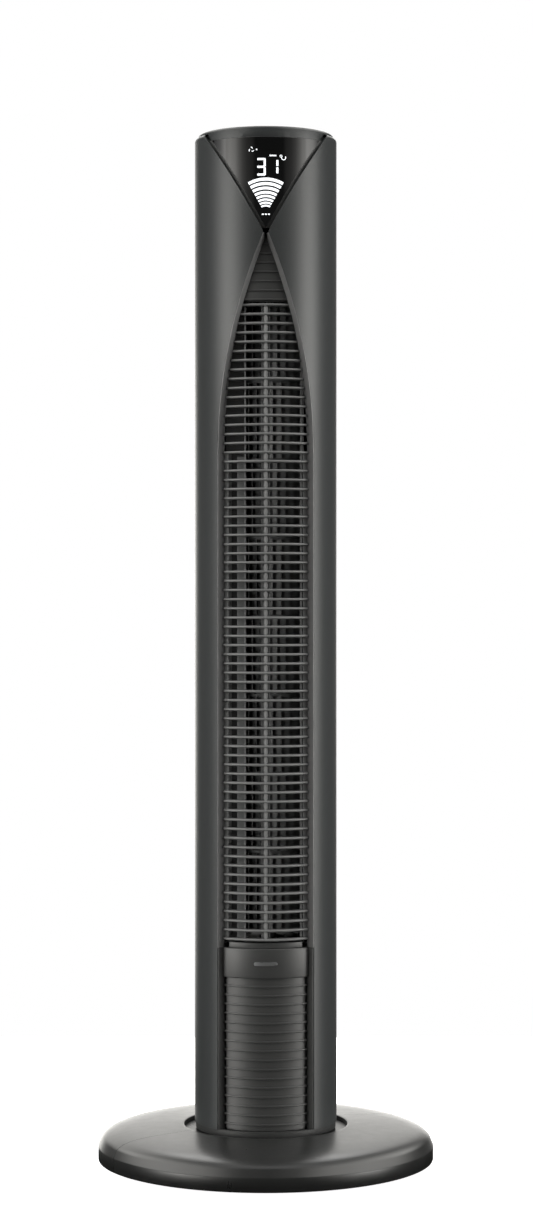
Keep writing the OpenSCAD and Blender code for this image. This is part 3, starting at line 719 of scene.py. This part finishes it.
def make_grille():
    bm = bmesh.new()
    nose = bpy.context.scene.fan_sizes.slat_nose
    heights = slat_heights()
    for z in heights:
        half = lens_angle(z + SLAT_T / 2) - TRIM_ANGLE - 0.3 * MM / SLAT_R
        steps = max(8, round(34 * half / OPEN_ANGLE))
        arc_bar(bm, slat_outline(z, nose), -half, half, steps)
    low, high = heights[0] - SLAT_T / 2, heights[-1] + SLAT_T / 2
    for side in (-1, 1):
        middle = side * (OPEN_ANGLE - radians(2.5))
        reach = radians(2.4)
        arc_bar(bm, box_outline(SLAT_R - SLAT_DEEP, TRIM_IN, low, BEND_Z), middle - reach, middle + reach, 3)
    piece = finish(bm, "front_slats", "grille_plastic", smooth=40)
    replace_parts(piece, "front_grille")
    bm = bmesh.new()
    beads(bm, heights, -(SLAT_R - 1.2 * MM), SLAT_DEEP - 1 * MM)
    for x in THIN_BARS_X:
        post(bm, x, -sqrt((SLAT_R - 4 * MM) ** 2 - x * x), *THIN_BAR, low, high, 0.3 * MM)
    for side in (-1, 1):
        post(bm, side * SPINE / 2, -(SLAT_R - SLAT_DEEP) - 0.6 * MM, *SPINE_POST, low, high, 0.3 * MM)
    finish(bm, "slat_spine", "grille_plastic")
    # A pale bar: painted light standing in for the lit face of the tongue behind the slats
    bm = bmesh.new()
    post(bm, TONGUE_LIGHT_X, -(SLAT_R - SLAT_DEEP - 4 * MM), *TONGUE_LIGHT_BAR, low, BEND_Z - 4 * MM, 0.4 * MM)
    finish(bm, "tongue_painted_light", "impeller_plastic")


def beads(bm, heights, front, depth):
    """The middle bar, which swells between one slat and the next; its front comes to a low ridge."""
    ridge = 0.6 * MM
    widths = []
    for i, z in enumerate(heights):
        widths.append((z, BEAD_NARROW))
        if i + 1 < len(heights):
            widths += [(z + PITCH * 0.35, BEAD_WIDE), (z + PITCH * 0.65, BEAD_WIDE)]
    rings = []
    for z, w in widths:
        section = [(-w / 2, front + ridge), (0, front), (w / 2, front + ridge),
                   (w / 2, front + depth), (-w / 2, front + depth)]
        rings.append([Vector((x, y, z)) for x, y in section])
    loft(bm, rings)


def post(bm, x, front, width, depth, low, high, soft):
    """An upright bar whose front face is at a depth, its edges rounded."""
    corners = rounded([(x - width / 2, front), (x + width / 2, front), (x + width / 2, front + depth),
                       (x - width / 2, front + depth)], soft)
    loft(bm, [[Vector((c[0], c[1], z)) for c in corners] for z in (low, high)])


def make_insert():
    """The closed top of the opening: a plate with a rib for each slat it carries on."""
    bm = bmesh.new()
    low, high = INSERT_LOW.z, INSERT_HIGH.z - 3 * MM
    plate, crest, rib = SLAT_R - 1.1 * MM, SLAT_R, RIB_H
    profile = []
    z = low
    while z + rib < high:
        profile += [(plate, z), (crest - 0.35 * MM, z + 0.05 * MM), (crest, z + 0.4 * MM),
                    (crest, z + rib - 0.4 * MM), (crest - 0.35 * MM, z + rib - 0.05 * MM), (plate, z + rib)]
        if z + PITCH < high:
            profile += [(plate, z + rib + (PITCH - rib) * 0.5)]
        z += PITCH
    profile.append((plate, high))
    rows = len(profile) - 1

    def point(u, v):
        radius, height = profile[round(v * rows)]
        half = max(0.3 * MM / SLAT_R, lens_angle(height) - TRIM_ANGLE - 0.15 * MM / SLAT_R)
        return polar(radius, (2 * u - 1) * half, height)

    patch(bm, 28, rows, point)
    piece = sheet_piece(bm, "opening_top", "panel_plastic", 3 * MM, 0.15 * MM)
    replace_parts(piece, "upper_insert")


def make_badge_plate():
    bm = bmesh.new()
    low, high = BADGE_LOW.z, LOWER_HIGH.z + 27.5 * MM
    half = PANEL_ANGLE
    radius = SLAT_R + 0.4 * MM
    arc_bar(bm, rounded(box_outline(TRIM_IN, radius, low + 0.1 * MM, high), 0.9 * MM, 4), -half, half, 60)
    arc_bar(bm, box_outline(TRIM_IN - 2.5 * MM, TRIM_IN, low, high), -OPEN_ANGLE, OPEN_ANGLE, 40)
    piece = finish(bm, "name_plate", "panel_plastic")
    bevel_modifier(piece, 0.3 * MM, 2)
    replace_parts(piece, "badge_plate")
    bm = bmesh.new()
    strip = half - radians(5)
    step = rounded(box_outline(TRIM_IN - 2.5 * MM, TRIM_IN + 0.6 * MM, high, BADGE_HIGH.z), 0.5 * MM)
    arc_bar(bm, step, -strip, strip, 50)
    finish(bm, "name_plate_step", "panel_plastic")
    size = bpy.context.scene.fan_sizes
    bm = bmesh.new()
    middle = (low + high) / 2
    wide, tall = size.badge_length / 2, size.badge_height / 2

    def point(u, v):
        x, z = (2 * u - 1), (2 * v - 1)
        bulge = sqrt(max(0.0, 1 - max(0.0, (abs(x) * wide - (wide - tall)) / tall) ** 2))
        angle = x * wide / radius
        return polar(radius + 0.35 * MM, angle, middle + z * tall * max(0.05, bulge))

    patch(bm, 36, 6, point)
    sheet_piece(bm, "blank_badge", "badge_metal", 0.4 * MM, 0.15 * MM)


def make_lower_panel():
    """The ribbed blind panel below the plate, between two channels whose walls are darkened as painted shade.
    """
    bm = bmesh.new()
    low, high = LOWER_LOW.z, LOWER_HIGH.z
    crest = SLAT_R - 0.6 * MM
    plate = SLAT_R - 1.7 * MM
    half = PANEL_ANGLE - radians(2.2)
    arc_bar(bm, box_outline(TRIM_IN - 2.5 * MM, plate, low, high), -half, half, 56)
    arc_bar(bm, box_outline(TRIM_IN - 2.5 * MM, TRIM_IN - 0.8 * MM, low, high), -OPEN_ANGLE, OPEN_ANGLE, 40)
    piece = finish(bm, "lower_plate", "panel_plastic")
    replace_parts(piece, "lower_panel")
    bm = bmesh.new()
    reach = PANEL_ANGLE - radians(0.3)
    z = high - PITCH
    while z > low + 1 * MM:
        rib = rounded(box_outline(TRIM_IN - 1 * MM, crest, z, z + RIB_H), 0.45 * MM, 2)
        arc_bar(bm, rib, -reach, reach, 56)
        z -= PITCH
    finish(bm, "lower_ribs", "panel_plastic")


# ---------- display ----------


def make_display():
    bm = bmesh.new()
    low, high = PANEL_LOW.z, PANEL_HIGH.z - 0.5 * MM

    def point(u, v):
        z = low + (high - low) * v
        return polar(LENS_R, (2 * u - 1) * v_angle(z, -GROOVE / 2), z)

    patch(bm, 48, 64, point)
    piece = sheet_piece(bm, "display_lens", "display_gloss", 2.6 * MM, 0.3 * MM)
    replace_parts(piece, "display_panel")


def on_lens(x, z):
    return polar(LENS_R + 0.06 * MM, asin(x / LENS_R), z)


def bar(bm, x0, x1, z0, z1):
    patch(bm, 4, 1, lambda u, v: on_lens(x0 + (x1 - x0) * u, z0 + (z1 - z0) * v))


def band(bm, x, z, radius, width, start, end, steps=28):
    """A flat arc about a point; angles run from straight up towards +X."""
    def point(u, v):
        angle = start + (end - start) * u
        r = radius + width * (v - 0.5)
        return on_lens(x + r * sin(angle), z + r * cos(angle))
    patch(bm, steps, 1, point)


# Radius and width of each arc of the level fan, in millimetres, from the outermost in
LEVEL_ARCS = ((32.7, 2.7), (28.6, 2.7), (24.5, 2.5), (20.6, 2.3),
              (17.2, 2.0), (14.0, 1.8), (11.1, 1.7), (8.4, 1.6))
DIGITS = {1: "bc", 3: "abcdg"}


def digit(bm, value, x0, x1, z0, z1, stroke):
    """A seven-segment digit."""
    mid = (z0 + z1) / 2
    gap = stroke * 0.3
    across = {"a": z1 - stroke, "g": mid - stroke / 2, "d": z0}
    right = x1 - stroke
    upright = {"f": (x0, mid, z1), "b": (right, mid, z1), "e": (x0, z0, mid), "c": (right, z0, mid)}
    for part in DIGITS[value]:
        if part in across:
            bar(bm, x0 + gap, x1 - gap, across[part], across[part] + stroke)
        else:
            x, a, b = upright[part]
            bar(bm, x, x + stroke, a + gap, b - gap)


def make_legends():
    bm = bmesh.new()
    digit(bm, 3, -8.3 * MM, 0.0 * MM, 913.6 * MM, 929.7 * MM, 1.9 * MM)
    digit(bm, 1, 9.2 * MM, 11.6 * MM, 915.2 * MM, 928.5 * MM, 1.9 * MM)
    for radius, width in LEVEL_ARCS:
        band(bm, 0, 877.7 * MM, radius * MM, width * MM, radians(-28.8), radians(28.8))
    bar(bm, 3.5 * MM, 9.6 * MM, 931.4 * MM, 932.6 * MM)
    for k in range(3):
        bar(bm, (-3.6 + 2.8 * k) * MM, (-1.8 + 2.8 * k) * MM, 877.6 * MM, 878.8 * MM)
    band(bm, 14.0 * MM, 931.6 * MM, 1.0 * MM, 0.5 * MM, 0, 2 * pi, 20)
    band(bm, 16.4 * MM, 930.2 * MM, 1.9 * MM, 0.7 * MM, radians(50), radians(310), 20)
    for k in range(3):
        turn = 2 * pi * k / 3
        x, z = (-13.2 + 1.3 * sin(turn)) * MM, (937.6 + 1.3 * cos(turn)) * MM
        band(bm, x, z, 0.9 * MM, 0.7 * MM, turn - 0.6, turn + 2.0, 10)
    band(bm, -8.4 * MM, 937.6 * MM, 0.35 * MM, 0.7 * MM, 0, 2 * pi, 12)
    face_outward(bm)
    piece = flat_piece(bm, "display_marks", "display_light")
    thicken(piece, 0.05 * MM)


# ---------- base ----------


def dome(u, drop=0.0):
    """A point of the base's dome, from its rim at 0 to its mouth at 1."""
    outer, inner = BASE_R - 1 * MM, MOUTH_R
    rise = DOME_Z - RIM_Z - 1 * MM
    height = RIM_Z + 1 * MM + rise * u + DOME_BULGE * sin(pi * u ** BULGE_BIAS)
    return (outer + (inner - outer) * u, min(height, DOME_Z) - drop)


def base_outline():
    """Section of a base half: its rim, the dome, the lip of the mouth, the ledge and the underside."""
    edge = bpy.context.scene.fan_sizes.rim_edge
    foot = BASE_FOOT_Z
    outer = [(BASE_R - 1 * MM, foot), (BASE_R - 0.3 * MM, foot + 0.3 * MM), (BASE_R, foot + 1 * MM)]
    outer.append((BASE_R, RIM_Z - edge))
    outer += [(BASE_R - edge * (1 - cos(t)), RIM_Z - edge + (edge + 0.6 * MM) * sin(t))
              for t in (0.4, 0.8, 1.2)]
    outer += [dome(u / 40) for u in range(1, 40)]
    lip_r, lip_z = dome(1.0)
    outer += [(lip_r + 0.8 * MM, lip_z - 0.1 * MM), (lip_r + 0.2 * MM, lip_z - 0.4 * MM),
              (lip_r, lip_z - 1.1 * MM)]
    ledge_z, ledge_r, ledge_t = PLATE_Z - 3 * MM, MOUTH_R - 16 * MM, 3 * MM
    inner = [(MOUTH_R, ledge_z), (ledge_r, ledge_z), (ledge_r, ledge_z - ledge_t),
             (MOUTH_R - BASE_WALL, ledge_z - ledge_t), (MOUTH_R - BASE_WALL, foot),
             (MOUTH_R + BASE_WALL, foot)]
    inner += [dome(u / 20, BASE_WALL) for u in range(19, 0, -1)
              if MOUTH_R + BASE_WALL < dome(u / 20)[0] < BASE_R - BASE_WALL]
    inner += [(BASE_R - BASE_WALL, RIM_Z - 1.5 * MM), (BASE_R - BASE_WALL, foot)]
    return outer + inner


def make_base_half(front_half, node_name):
    turn = SEAM_DIR + (pi if front_half else 0)
    gap = SEAM / 2 / (BASE_R * 0.75)
    bm = bmesh.new()
    start = Matrix.Rotation(turn + gap, 4, "Z")
    verts = [bm.verts.new(start @ Vector((r, 0, z))) for r, z in base_outline()]
    face = bm.faces.new(verts)
    bmesh.ops.spin(bm, geom=[face, *face.edges, *verts], cent=(0, 0, 0), axis=(0, 0, 1), dvec=(0, 0, 0),
                   angle=pi - 2 * gap, steps=96, use_merge=False, use_duplicate=False)
    piece = finish(bm, node_name + "_skin", "base_plastic", "base", 30)
    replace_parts(piece, node_name)
    bm = bmesh.new()
    ring = BASE_R - 17 * MM
    for i in range(3):
        angle = turn + radians(30 + 60 * i)
        boss(bm, ring * cos(angle), ring * sin(angle), 8 * MM, 1.6 * MM, RIM_Z + 2 * MM)
    near, far, half = MOUTH_R + 2 * MM, BASE_R - 2 * MM, 1 * MM
    corners = [(near, -half), (far, -half), (far, half), (near, half)]
    low, far_high, near_high = 3.5 * MM, RIM_Z - 0.5 * MM, DOME_Z - 3.5 * MM
    tops = (near_high, far_high, far_high, near_high)
    for i in range(2):
        web = Matrix.Rotation(turn + radians(60 + 60 * i), 4, "Z")
        foot = [web @ Vector((*c, low)) for c in corners]
        crown = [web @ Vector((*c, h)) for c, h in zip(corners, tops)]
        loft(bm, [foot, crown])
    finish(bm, node_name + "_webs", "base_plastic", "base")


def boss(bm, x, y, radius, low, high, steps=32):
    """A round post."""
    made = bmesh.ops.create_cone(bm, cap_ends=True, segments=steps, radius1=radius, radius2=radius,
                                 depth=high - low)
    bmesh.ops.translate(bm, verts=made["verts"], vec=(x, y, (low + high) / 2))


# ---------- buttons ----------


def make_buttons():
    for name in ("button_power", "button_speed", "button_timer", "button_swing"):
        low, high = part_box(name)
        body = frame["nodes"][name]["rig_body"]
        cad_copy(name, name + "_key", "button_plastic", 0.35 * MM)
        centre = Vector(((low.x + high.x) / 2, (low.y + high.y) / 2, high.z))
        bm = bmesh.new()
        SYMBOLS[name](bm, centre)
        piece = flat_piece(bm, name + "_mark", "legend_ink", body)
        thicken(piece, 0.04 * MM, 1)


def flat_band(bm, centre, radius, width, start, end, steps=24):
    def point(u, v):
        angle = start + (end - start) * u
        r = radius + width * (v - 0.5)
        return Vector((centre.x + r * sin(angle), centre.y + r * cos(angle), centre.z + 0.02 * MM))
    patch(bm, steps, 1, point)


def flat_bar(bm, centre, x, y, wide, tall, angle=0.0):
    turn = Matrix.Rotation(angle, 4, "Z")

    def point(u, v):
        p = turn @ Vector((x + wide * (u - 0.5), y + tall * (v - 0.5), 0))
        return Vector((centre.x + p.x, centre.y + p.y, centre.z + 0.02 * MM))
    patch(bm, 2, 1, point)


def power_mark(bm, centre):
    flat_band(bm, centre, 1.9 * MM, 0.4 * MM, radians(35), radians(325))
    flat_bar(bm, centre, 0, 1.5 * MM, 0.4 * MM, 1.7 * MM)


def speed_mark(bm, centre):
    for k in range(3):
        flat_bar(bm, centre, (k - 1) * 1.2 * MM, (k - 1) * 0.35 * MM, 0.55 * MM, (1.6 + 0.7 * k) * MM)


def timer_mark(bm, centre):
    flat_band(bm, centre, 1.9 * MM, 0.4 * MM, 0, 2 * pi)
    flat_bar(bm, centre, 0, 0.6 * MM, 0.35 * MM, 1.3 * MM)
    flat_bar(bm, centre, 0.45 * MM, 0, 1.0 * MM, 0.35 * MM)


def swing_mark(bm, centre):
    flat_band(bm, centre, 1.9 * MM, 0.4 * MM, radians(60), radians(300))
    flat_bar(bm, centre, 1.5 * MM, 0.9 * MM, 1.2 * MM, 0.4 * MM, radians(40))
    flat_bar(bm, centre, -1.5 * MM, 0.9 * MM, 1.2 * MM, 0.4 * MM, radians(-40))


SYMBOLS = {"button_power": power_mark, "button_speed": speed_mark,
           "button_timer": timer_mark, "button_swing": swing_mark}


# ---------- settings ----------


class FanLooks(bpy.types.PropertyGroup):
    shell_colour: FloatVectorProperty(name="Shell colour", description="Base colour of the painted shells",
                                      subtype="COLOR", size=3, min=0, max=1, default=(0.035, 0.038, 0.039))
    shell_roughness: FloatProperty(name="Shell roughness", description="How satin the shell paint is",
                                   subtype="FACTOR", min=0, max=1, default=0.36)
    trim_colour: FloatVectorProperty(name="Trim colour", description="Colour of the trim round the opening",
                                     subtype="COLOR", size=3, min=0, max=1, default=(0.18, 0.181, 0.183))
    grille_colour: FloatVectorProperty(name="Slat colour", description="Colour of the slats' plastic",
                                       subtype="COLOR", size=3, min=0, max=1, default=(0.15, 0.153, 0.154))
    panel_colour: FloatVectorProperty(name="Panel colour", description="Colour of the closed panels' plastic",
                                      subtype="COLOR", size=3, min=0, max=1, default=(0.042, 0.043, 0.043))
    base_colour: FloatVectorProperty(name="Base colour", description="Colour of the base's plastic",
                                     subtype="COLOR", size=3, min=0, max=1, default=(0.018, 0.0185, 0.0185))
    display_strength: FloatProperty(name="Display strength", description="Brightness of the lit legends",
                                    min=0, max=20, default=0.95)


class FanSizes(bpy.types.PropertyGroup):
    shell_edge: FloatProperty(name="Shell edge", description="Radius on the shells' edges", unit="LENGTH",
                              min=0, default=0.5 * MM)
    trim_edge: FloatProperty(name="Trim edge", description="Radius on the trim's edges", unit="LENGTH",
                             min=0, default=0.4 * MM)
    trim_width: FloatProperty(name="Trim width", description="Width of the opening's trim from the front",
                              unit="LENGTH", min=0.5 * MM, default=4.0 * MM)
    slat_nose: FloatProperty(name="Slat nose", description="Depth of the rounding on each slat",
                             unit="LENGTH", min=0.1 * MM, default=0.7 * MM)
    rim_edge: FloatProperty(name="Rim edge", description="Radius between the base's rim and dome",
                            unit="LENGTH", min=0.1 * MM, default=0.9 * MM)
    badge_length: FloatProperty(name="Badge length", description="Length of the blank badge", unit="LENGTH",
                                min=1 * MM, default=22 * MM)
    badge_height: FloatProperty(name="Badge height", description="Height of the blank badge", unit="LENGTH",
                                min=1 * MM, default=3.4 * MM)


class StudioSettings(bpy.types.PropertyGroup):
    distance: FloatProperty(name="Camera distance", description="From the camera to the column's axis",
                            unit="LENGTH", min=0.5, default=2.631)
    eye_height: FloatProperty(name="Eye height", description="Height of the camera above the floor",
                              unit="LENGTH", min=0, default=0.5415)
    lens: FloatProperty(name="Lens", description="Focal length in millimetres", min=10, max=300, default=82.8)
    rise: FloatProperty(name="Shift", description="Vertical shift of the lens",
                        min=-0.2, max=0.2, default=-0.0222)
    side_angle: FloatProperty(name="Side angle", description="Side lights' angle from the front, in degrees",
                              min=0, max=180, default=79)
    side_power: FloatProperty(name="Side lights", description="Power of each side softbox", unit="POWER",
                              min=0, default=3)
    top_power: FloatProperty(name="Top light", description="Power of the overhead softbox", unit="POWER",
                             min=0, default=8)
    backdrop: FloatVectorProperty(name="Backdrop", description="Colour that the camera sees behind the fan",
                                  subtype="COLOR", size=3, min=0, max=1, default=(1.0, 1.0, 1.0))


# ---------- operators ----------


class MakeShells(bpy.types.Operator):
    """Makes the painted shells of the column"""
    bl_idname = "fan.make_shells"
    bl_label = "Shells"

    def execute(self, context):
        make_side_shell(-1, "side_shell_left")
        make_side_shell(1, "side_shell_right")
        dress("shell_paint", "rear_shell", "rear_shell_top")
        return {"FINISHED"}


class MakeOpening(bpy.types.Operator):
    """Makes the slats, their spine and the trims round the front opening"""
    bl_idname = "fan.make_opening"
    bl_label = "Front opening"

    def execute(self, context):
        make_grille()
        make_trim()
        make_lower_trim()
        make_insert()
        return {"FINISHED"}


class MakeLowerFront(bpy.types.Operator):
    """Makes the plate and the ribbed panel below the slats"""
    bl_idname = "fan.make_lower_front"
    bl_label = "Lower front"

    def execute(self, context):
        make_badge_plate()
        make_lower_panel()
        return {"FINISHED"}


class MakeDisplay(bpy.types.Operator):
    """Makes the display's lens and its lit legends"""
    bl_idname = "fan.make_display"
    bl_label = "Display"

    def execute(self, context):
        make_display()
        make_legends()
        dress("duct_plastic", "display_frame")
        dress("circuit_board", "display_board")
        return {"FINISHED"}


class MakeTop(bpy.types.Operator):
    """Makes the cap and the buttons"""
    bl_idname = "fan.make_top"
    bl_label = "Cap and buttons"

    def execute(self, context):
        cad_copy("top_cap", "cap_skin", "shell_paint", 0.3 * MM)
        make_buttons()
        dress("circuit_board", "control_board")
        return {"FINISHED"}


class MakeBase(bpy.types.Operator):
    """Makes the base's two halves and finishes the swivel"""
    bl_idname = "fan.make_base"
    bl_label = "Base"

    def execute(self, context):
        make_base_half(True, "base_half_front")
        make_base_half(False, "base_half_rear")
        cad_copy("swivel_plate", "swivel_plate_skin", "base_plastic", 0.3 * MM)
        cad_copy("turntable", "neck", "duct_plastic")
        dress("rubber", "base_feet")
        dress("steel", "base_screws", "spindle_nut")
        dress("acetal", "slip_ring", "swing_gear", "swing_pinion")
        dress("cast_alloy", "swing_motor")
        dress("steel", "swing_shaft")
        return {"FINISHED"}


class MakeRear(bpy.types.Operator):
    """Finishes the intake grille, the carrying recess and the cord's gland"""
    bl_idname = "fan.make_rear"
    bl_label = "Rear"

    def execute(self, context):
        cad_copy("rear_grille", "intake_fins", "intake_plastic")
        cad_copy("grip_cup", "carrying_recess", "intake_plastic", 0.5 * MM)
        cad_copy("cord_gland", "cord_gland_skin", "rubber", 0.3 * MM)
        dress("dark_steel", "column_screws")
        return {"FINISHED"}


class MakeInside(bpy.types.Operator):
    """Finishes the impeller, the motor and the electrics"""
    bl_idname = "fan.make_inside"
    bl_label = "Inside"

    def execute(self, context):
        dress("duct_plastic", "scroll_duct", "tongue", "lower_deck", "upper_deck", "bearing_mount", "wiring")
        dress("impeller_plastic", "impeller_hub", *[f"impeller_segment_{i}" for i in range(1, 9)])
        dress("steel", "impeller_top_disc", "upper_bearing", "motor_bearings", "motor_bolts")
        dress("cast_alloy", "motor_bell_lower", "motor_bell_upper", "motor_rotor")
        dress("dark_steel", "motor_stator")
        dress("circuit_board", "power_board")
        dress("rubber", "run_capacitor")
        return {"FINISHED"}


class MakeStage(bpy.types.Operator):
    """Makes the floor, the soft lights and the camera"""
    bl_idname = "fan.make_stage"
    bl_label = "Stage"

    def execute(self, context):
        studio = context.scene.fan_studio
        make_floor()
        make_world(context.scene, tuple(studio.backdrop))
        for side, name in ((-1, "side_light_left"), (1, "side_light_right")):
            softbox(name, azimuth=side * radians(studio.side_angle), distance=1.8, height=0.7,
                    wide=0.75, tall=2.0, power=studio.side_power)
        softbox("top_light", azimuth=0, distance=0.2, height=2.3,
                wide=1.6, tall=1.6, power=studio.top_power, tilt=0)
        softbox("rear_light", azimuth=pi, distance=1.5, height=1.9,
                wide=1.2, tall=1.2, power=REAR_SHARE * studio.top_power, tilt=radians(50))
        context.scene.view_settings.view_transform = "Standard"
        camera = bpy.data.cameras.new("camera")
        camera.sensor_fit = "VERTICAL"
        camera.sensor_height = 36
        camera.lens = studio.lens
        camera.shift_y = studio.rise
        camera.clip_end = 50
        view = bpy.data.objects.new("camera", camera)
        view.location = (CAMERA_ASIDE, -studio.distance, studio.eye_height)
        view.rotation_euler = (pi / 2, 0, 0)
        context.scene.collection.objects.link(view)
        context.scene.camera = view
        return {"FINISHED"}


def make_floor():
    """A pale floor that lights itself; reflections and bounced light leave it out."""
    bm = bmesh.new()
    bmesh.ops.create_grid(bm, x_segments=1, y_segments=1, size=FLOOR_HALF)
    mesh = bpy.data.meshes.new("floor")
    bm.to_mesh(mesh)
    bm.free()
    floor = bpy.data.objects.new("floor", mesh)
    bpy.context.scene.collection.objects.link(floor)
    material, tree = new_material("floor")
    tint = mix_colour(tree, noise(tree, 3.0, 3.0), (0.93, 0.93, 0.93), (0.97, 0.97, 0.97))
    surface(tree, Base_Color=tint, Roughness=0.85, Specular_IOR_Level=0.2,
            Emission_Color=tint, Emission_Strength=1.0)
    mesh.materials.append(material)
    floor.visible_glossy = False
    floor.visible_diffuse = False


# Fraction of the way from behind the fan to in front of it, and the light from there
WORLD_STOPS = [(0.0, 0.32), (0.02, 0.28), (0.035, 0.05), (0.06, 0.012), (0.45, 0.012),
               (0.54, 0.22), (0.62, 0.75), (0.70, 0.95), (0.775, 0.75), (0.82, 0.43),
               (0.865, 0.2), (0.905, 0.1), (0.945, 0.06), (0.965, 0.012)]
WORLD_TINT = (1.0, 0.985, 0.945)
BAND_LIGHT = 8.2  # strength of the band of light level with the fan
REAR_LIGHT = 1.5  # strength of the patch above and behind it
WING_LIGHT = 3.5  # strength of the high light on each side
REAR_SHARE = 1.6  # power of the rear softbox against the top one
ASIDE = 0.1  # turns the band a little about the column
FLOOR_HALF = 0.7
CAMERA_ASIDE = 0.0007


def make_world(scene, backdrop):
    """A band of light level with the fan, a patch behind it and a wing on each side.

    The camera itself sees the plain backdrop instead.
    """
    world = bpy.data.worlds.new("studio")
    world.use_nodes = True
    tree = world.node_tree
    tree.nodes.clear()
    direction = node(tree, "ShaderNodeTexCoord", output="Generated")
    across = node(tree, "ShaderNodeSeparateXYZ", {}, {"Vector": direction}, "X")
    along = node(tree, "ShaderNodeSeparateXYZ", {}, {"Vector": direction}, "Y")
    up = node(tree, "ShaderNodeSeparateXYZ", {}, {"Vector": direction}, "Z")
    reach = (across * across + along * along + 0.0001).math("POWER", 0.5)
    turn = (across * ASIDE - along) / reach * 0.5 + 0.5
    broad = span(tree, up, -0.17, -0.12, 0, 1) * span(tree, up, 0.06, 0.22, 1, 0)
    core = span(tree, up, -0.11, -0.03, 0, 0.6) * span(tree, up, 0.02, 0.1, 1, 0)
    level = ramp(tree, turn, [(at, (v, v, v)) for at, v in WORLD_STOPS]) * (broad + core) * BAND_LIGHT
    behind = span(tree, turn, 0.04, 0.02, 0, 1) * span(tree, up, 0.1, 0.28, 0, 1)
    wings = span(tree, across.math("ABSOLUTE", 0), 0.3, 0.55, 0, 1) * span(tree, up, 0.35, 0.5, 0, 1)
    glow = level + behind * REAR_LIGHT + wings * WING_LIGHT
    seen = node(tree, "ShaderNodeLightPath", output="Is Camera Ray")
    tint = mix_colour(tree, seen, WORLD_TINT, backdrop)
    shade = node(tree, "ShaderNodeBackground", {}, {"Color": tint, "Strength": glow * (1 - seen) + seen})
    node(tree, "ShaderNodeOutputWorld", {}, {"Surface": shade})
    scene.world = world


def softbox(name, azimuth, distance, height, wide, tall, power, tilt=pi / 2):
    """A soft rectangular light at an angle from the front, facing the column."""
    light = bpy.data.lights.new(name, "AREA")
    light.shape = "RECTANGLE"
    light.size, light.size_y = wide, tall
    light.energy = power
    lamp = bpy.data.objects.new(name, light)
    lamp.location = polar(distance, azimuth, height)
    lamp.rotation_euler = (tilt, 0, azimuth)
    bpy.context.scene.collection.objects.link(lamp)


class FAN_PT_panel(bpy.types.Panel):
    """Lists the fan's pieces and settings"""
    bl_idname = "FAN_PT_panel"
    bl_label = "Tower fan"
    bl_space_type = "VIEW_3D"
    bl_region_type = "UI"
    bl_category = "Tower fan"

    def draw(self, context):
        for operator in OPERATORS:
            self.layout.operator(operator.bl_idname)
        for group in (context.scene.fan_looks, context.scene.fan_sizes, context.scene.fan_studio):
            for key in group.bl_rna.properties.keys():
                if key not in ("rna_type", "name"):
                    self.layout.prop(group, key)


OPERATORS = (MakeStage, MakeShells, MakeOpening, MakeLowerFront, MakeDisplay,
             MakeTop, MakeBase, MakeRear, MakeInside)
CLASSES = (FanLooks, FanSizes, StudioSettings, *OPERATORS, FAN_PT_panel)


def register():
    for cls in CLASSES:
        bpy.utils.register_class(cls)
    bpy.types.Scene.fan_looks = PointerProperty(type=FanLooks)
    bpy.types.Scene.fan_sizes = PointerProperty(type=FanSizes)
    bpy.types.Scene.fan_studio = PointerProperty(type=StudioSettings)


def unregister():
    del bpy.types.Scene.fan_studio
    del bpy.types.Scene.fan_sizes
    del bpy.types.Scene.fan_looks
    for cls in reversed(CLASSES):
        bpy.utils.unregister_class(cls)


def main():
    register()
    for make in (bpy.ops.fan.make_stage, bpy.ops.fan.make_shells, bpy.ops.fan.make_opening,
                 bpy.ops.fan.make_lower_front, bpy.ops.fan.make_display, bpy.ops.fan.make_top,
                 bpy.ops.fan.make_base, bpy.ops.fan.make_rear, bpy.ops.fan.make_inside):
        make()


if __name__ == "__main__":
    main()
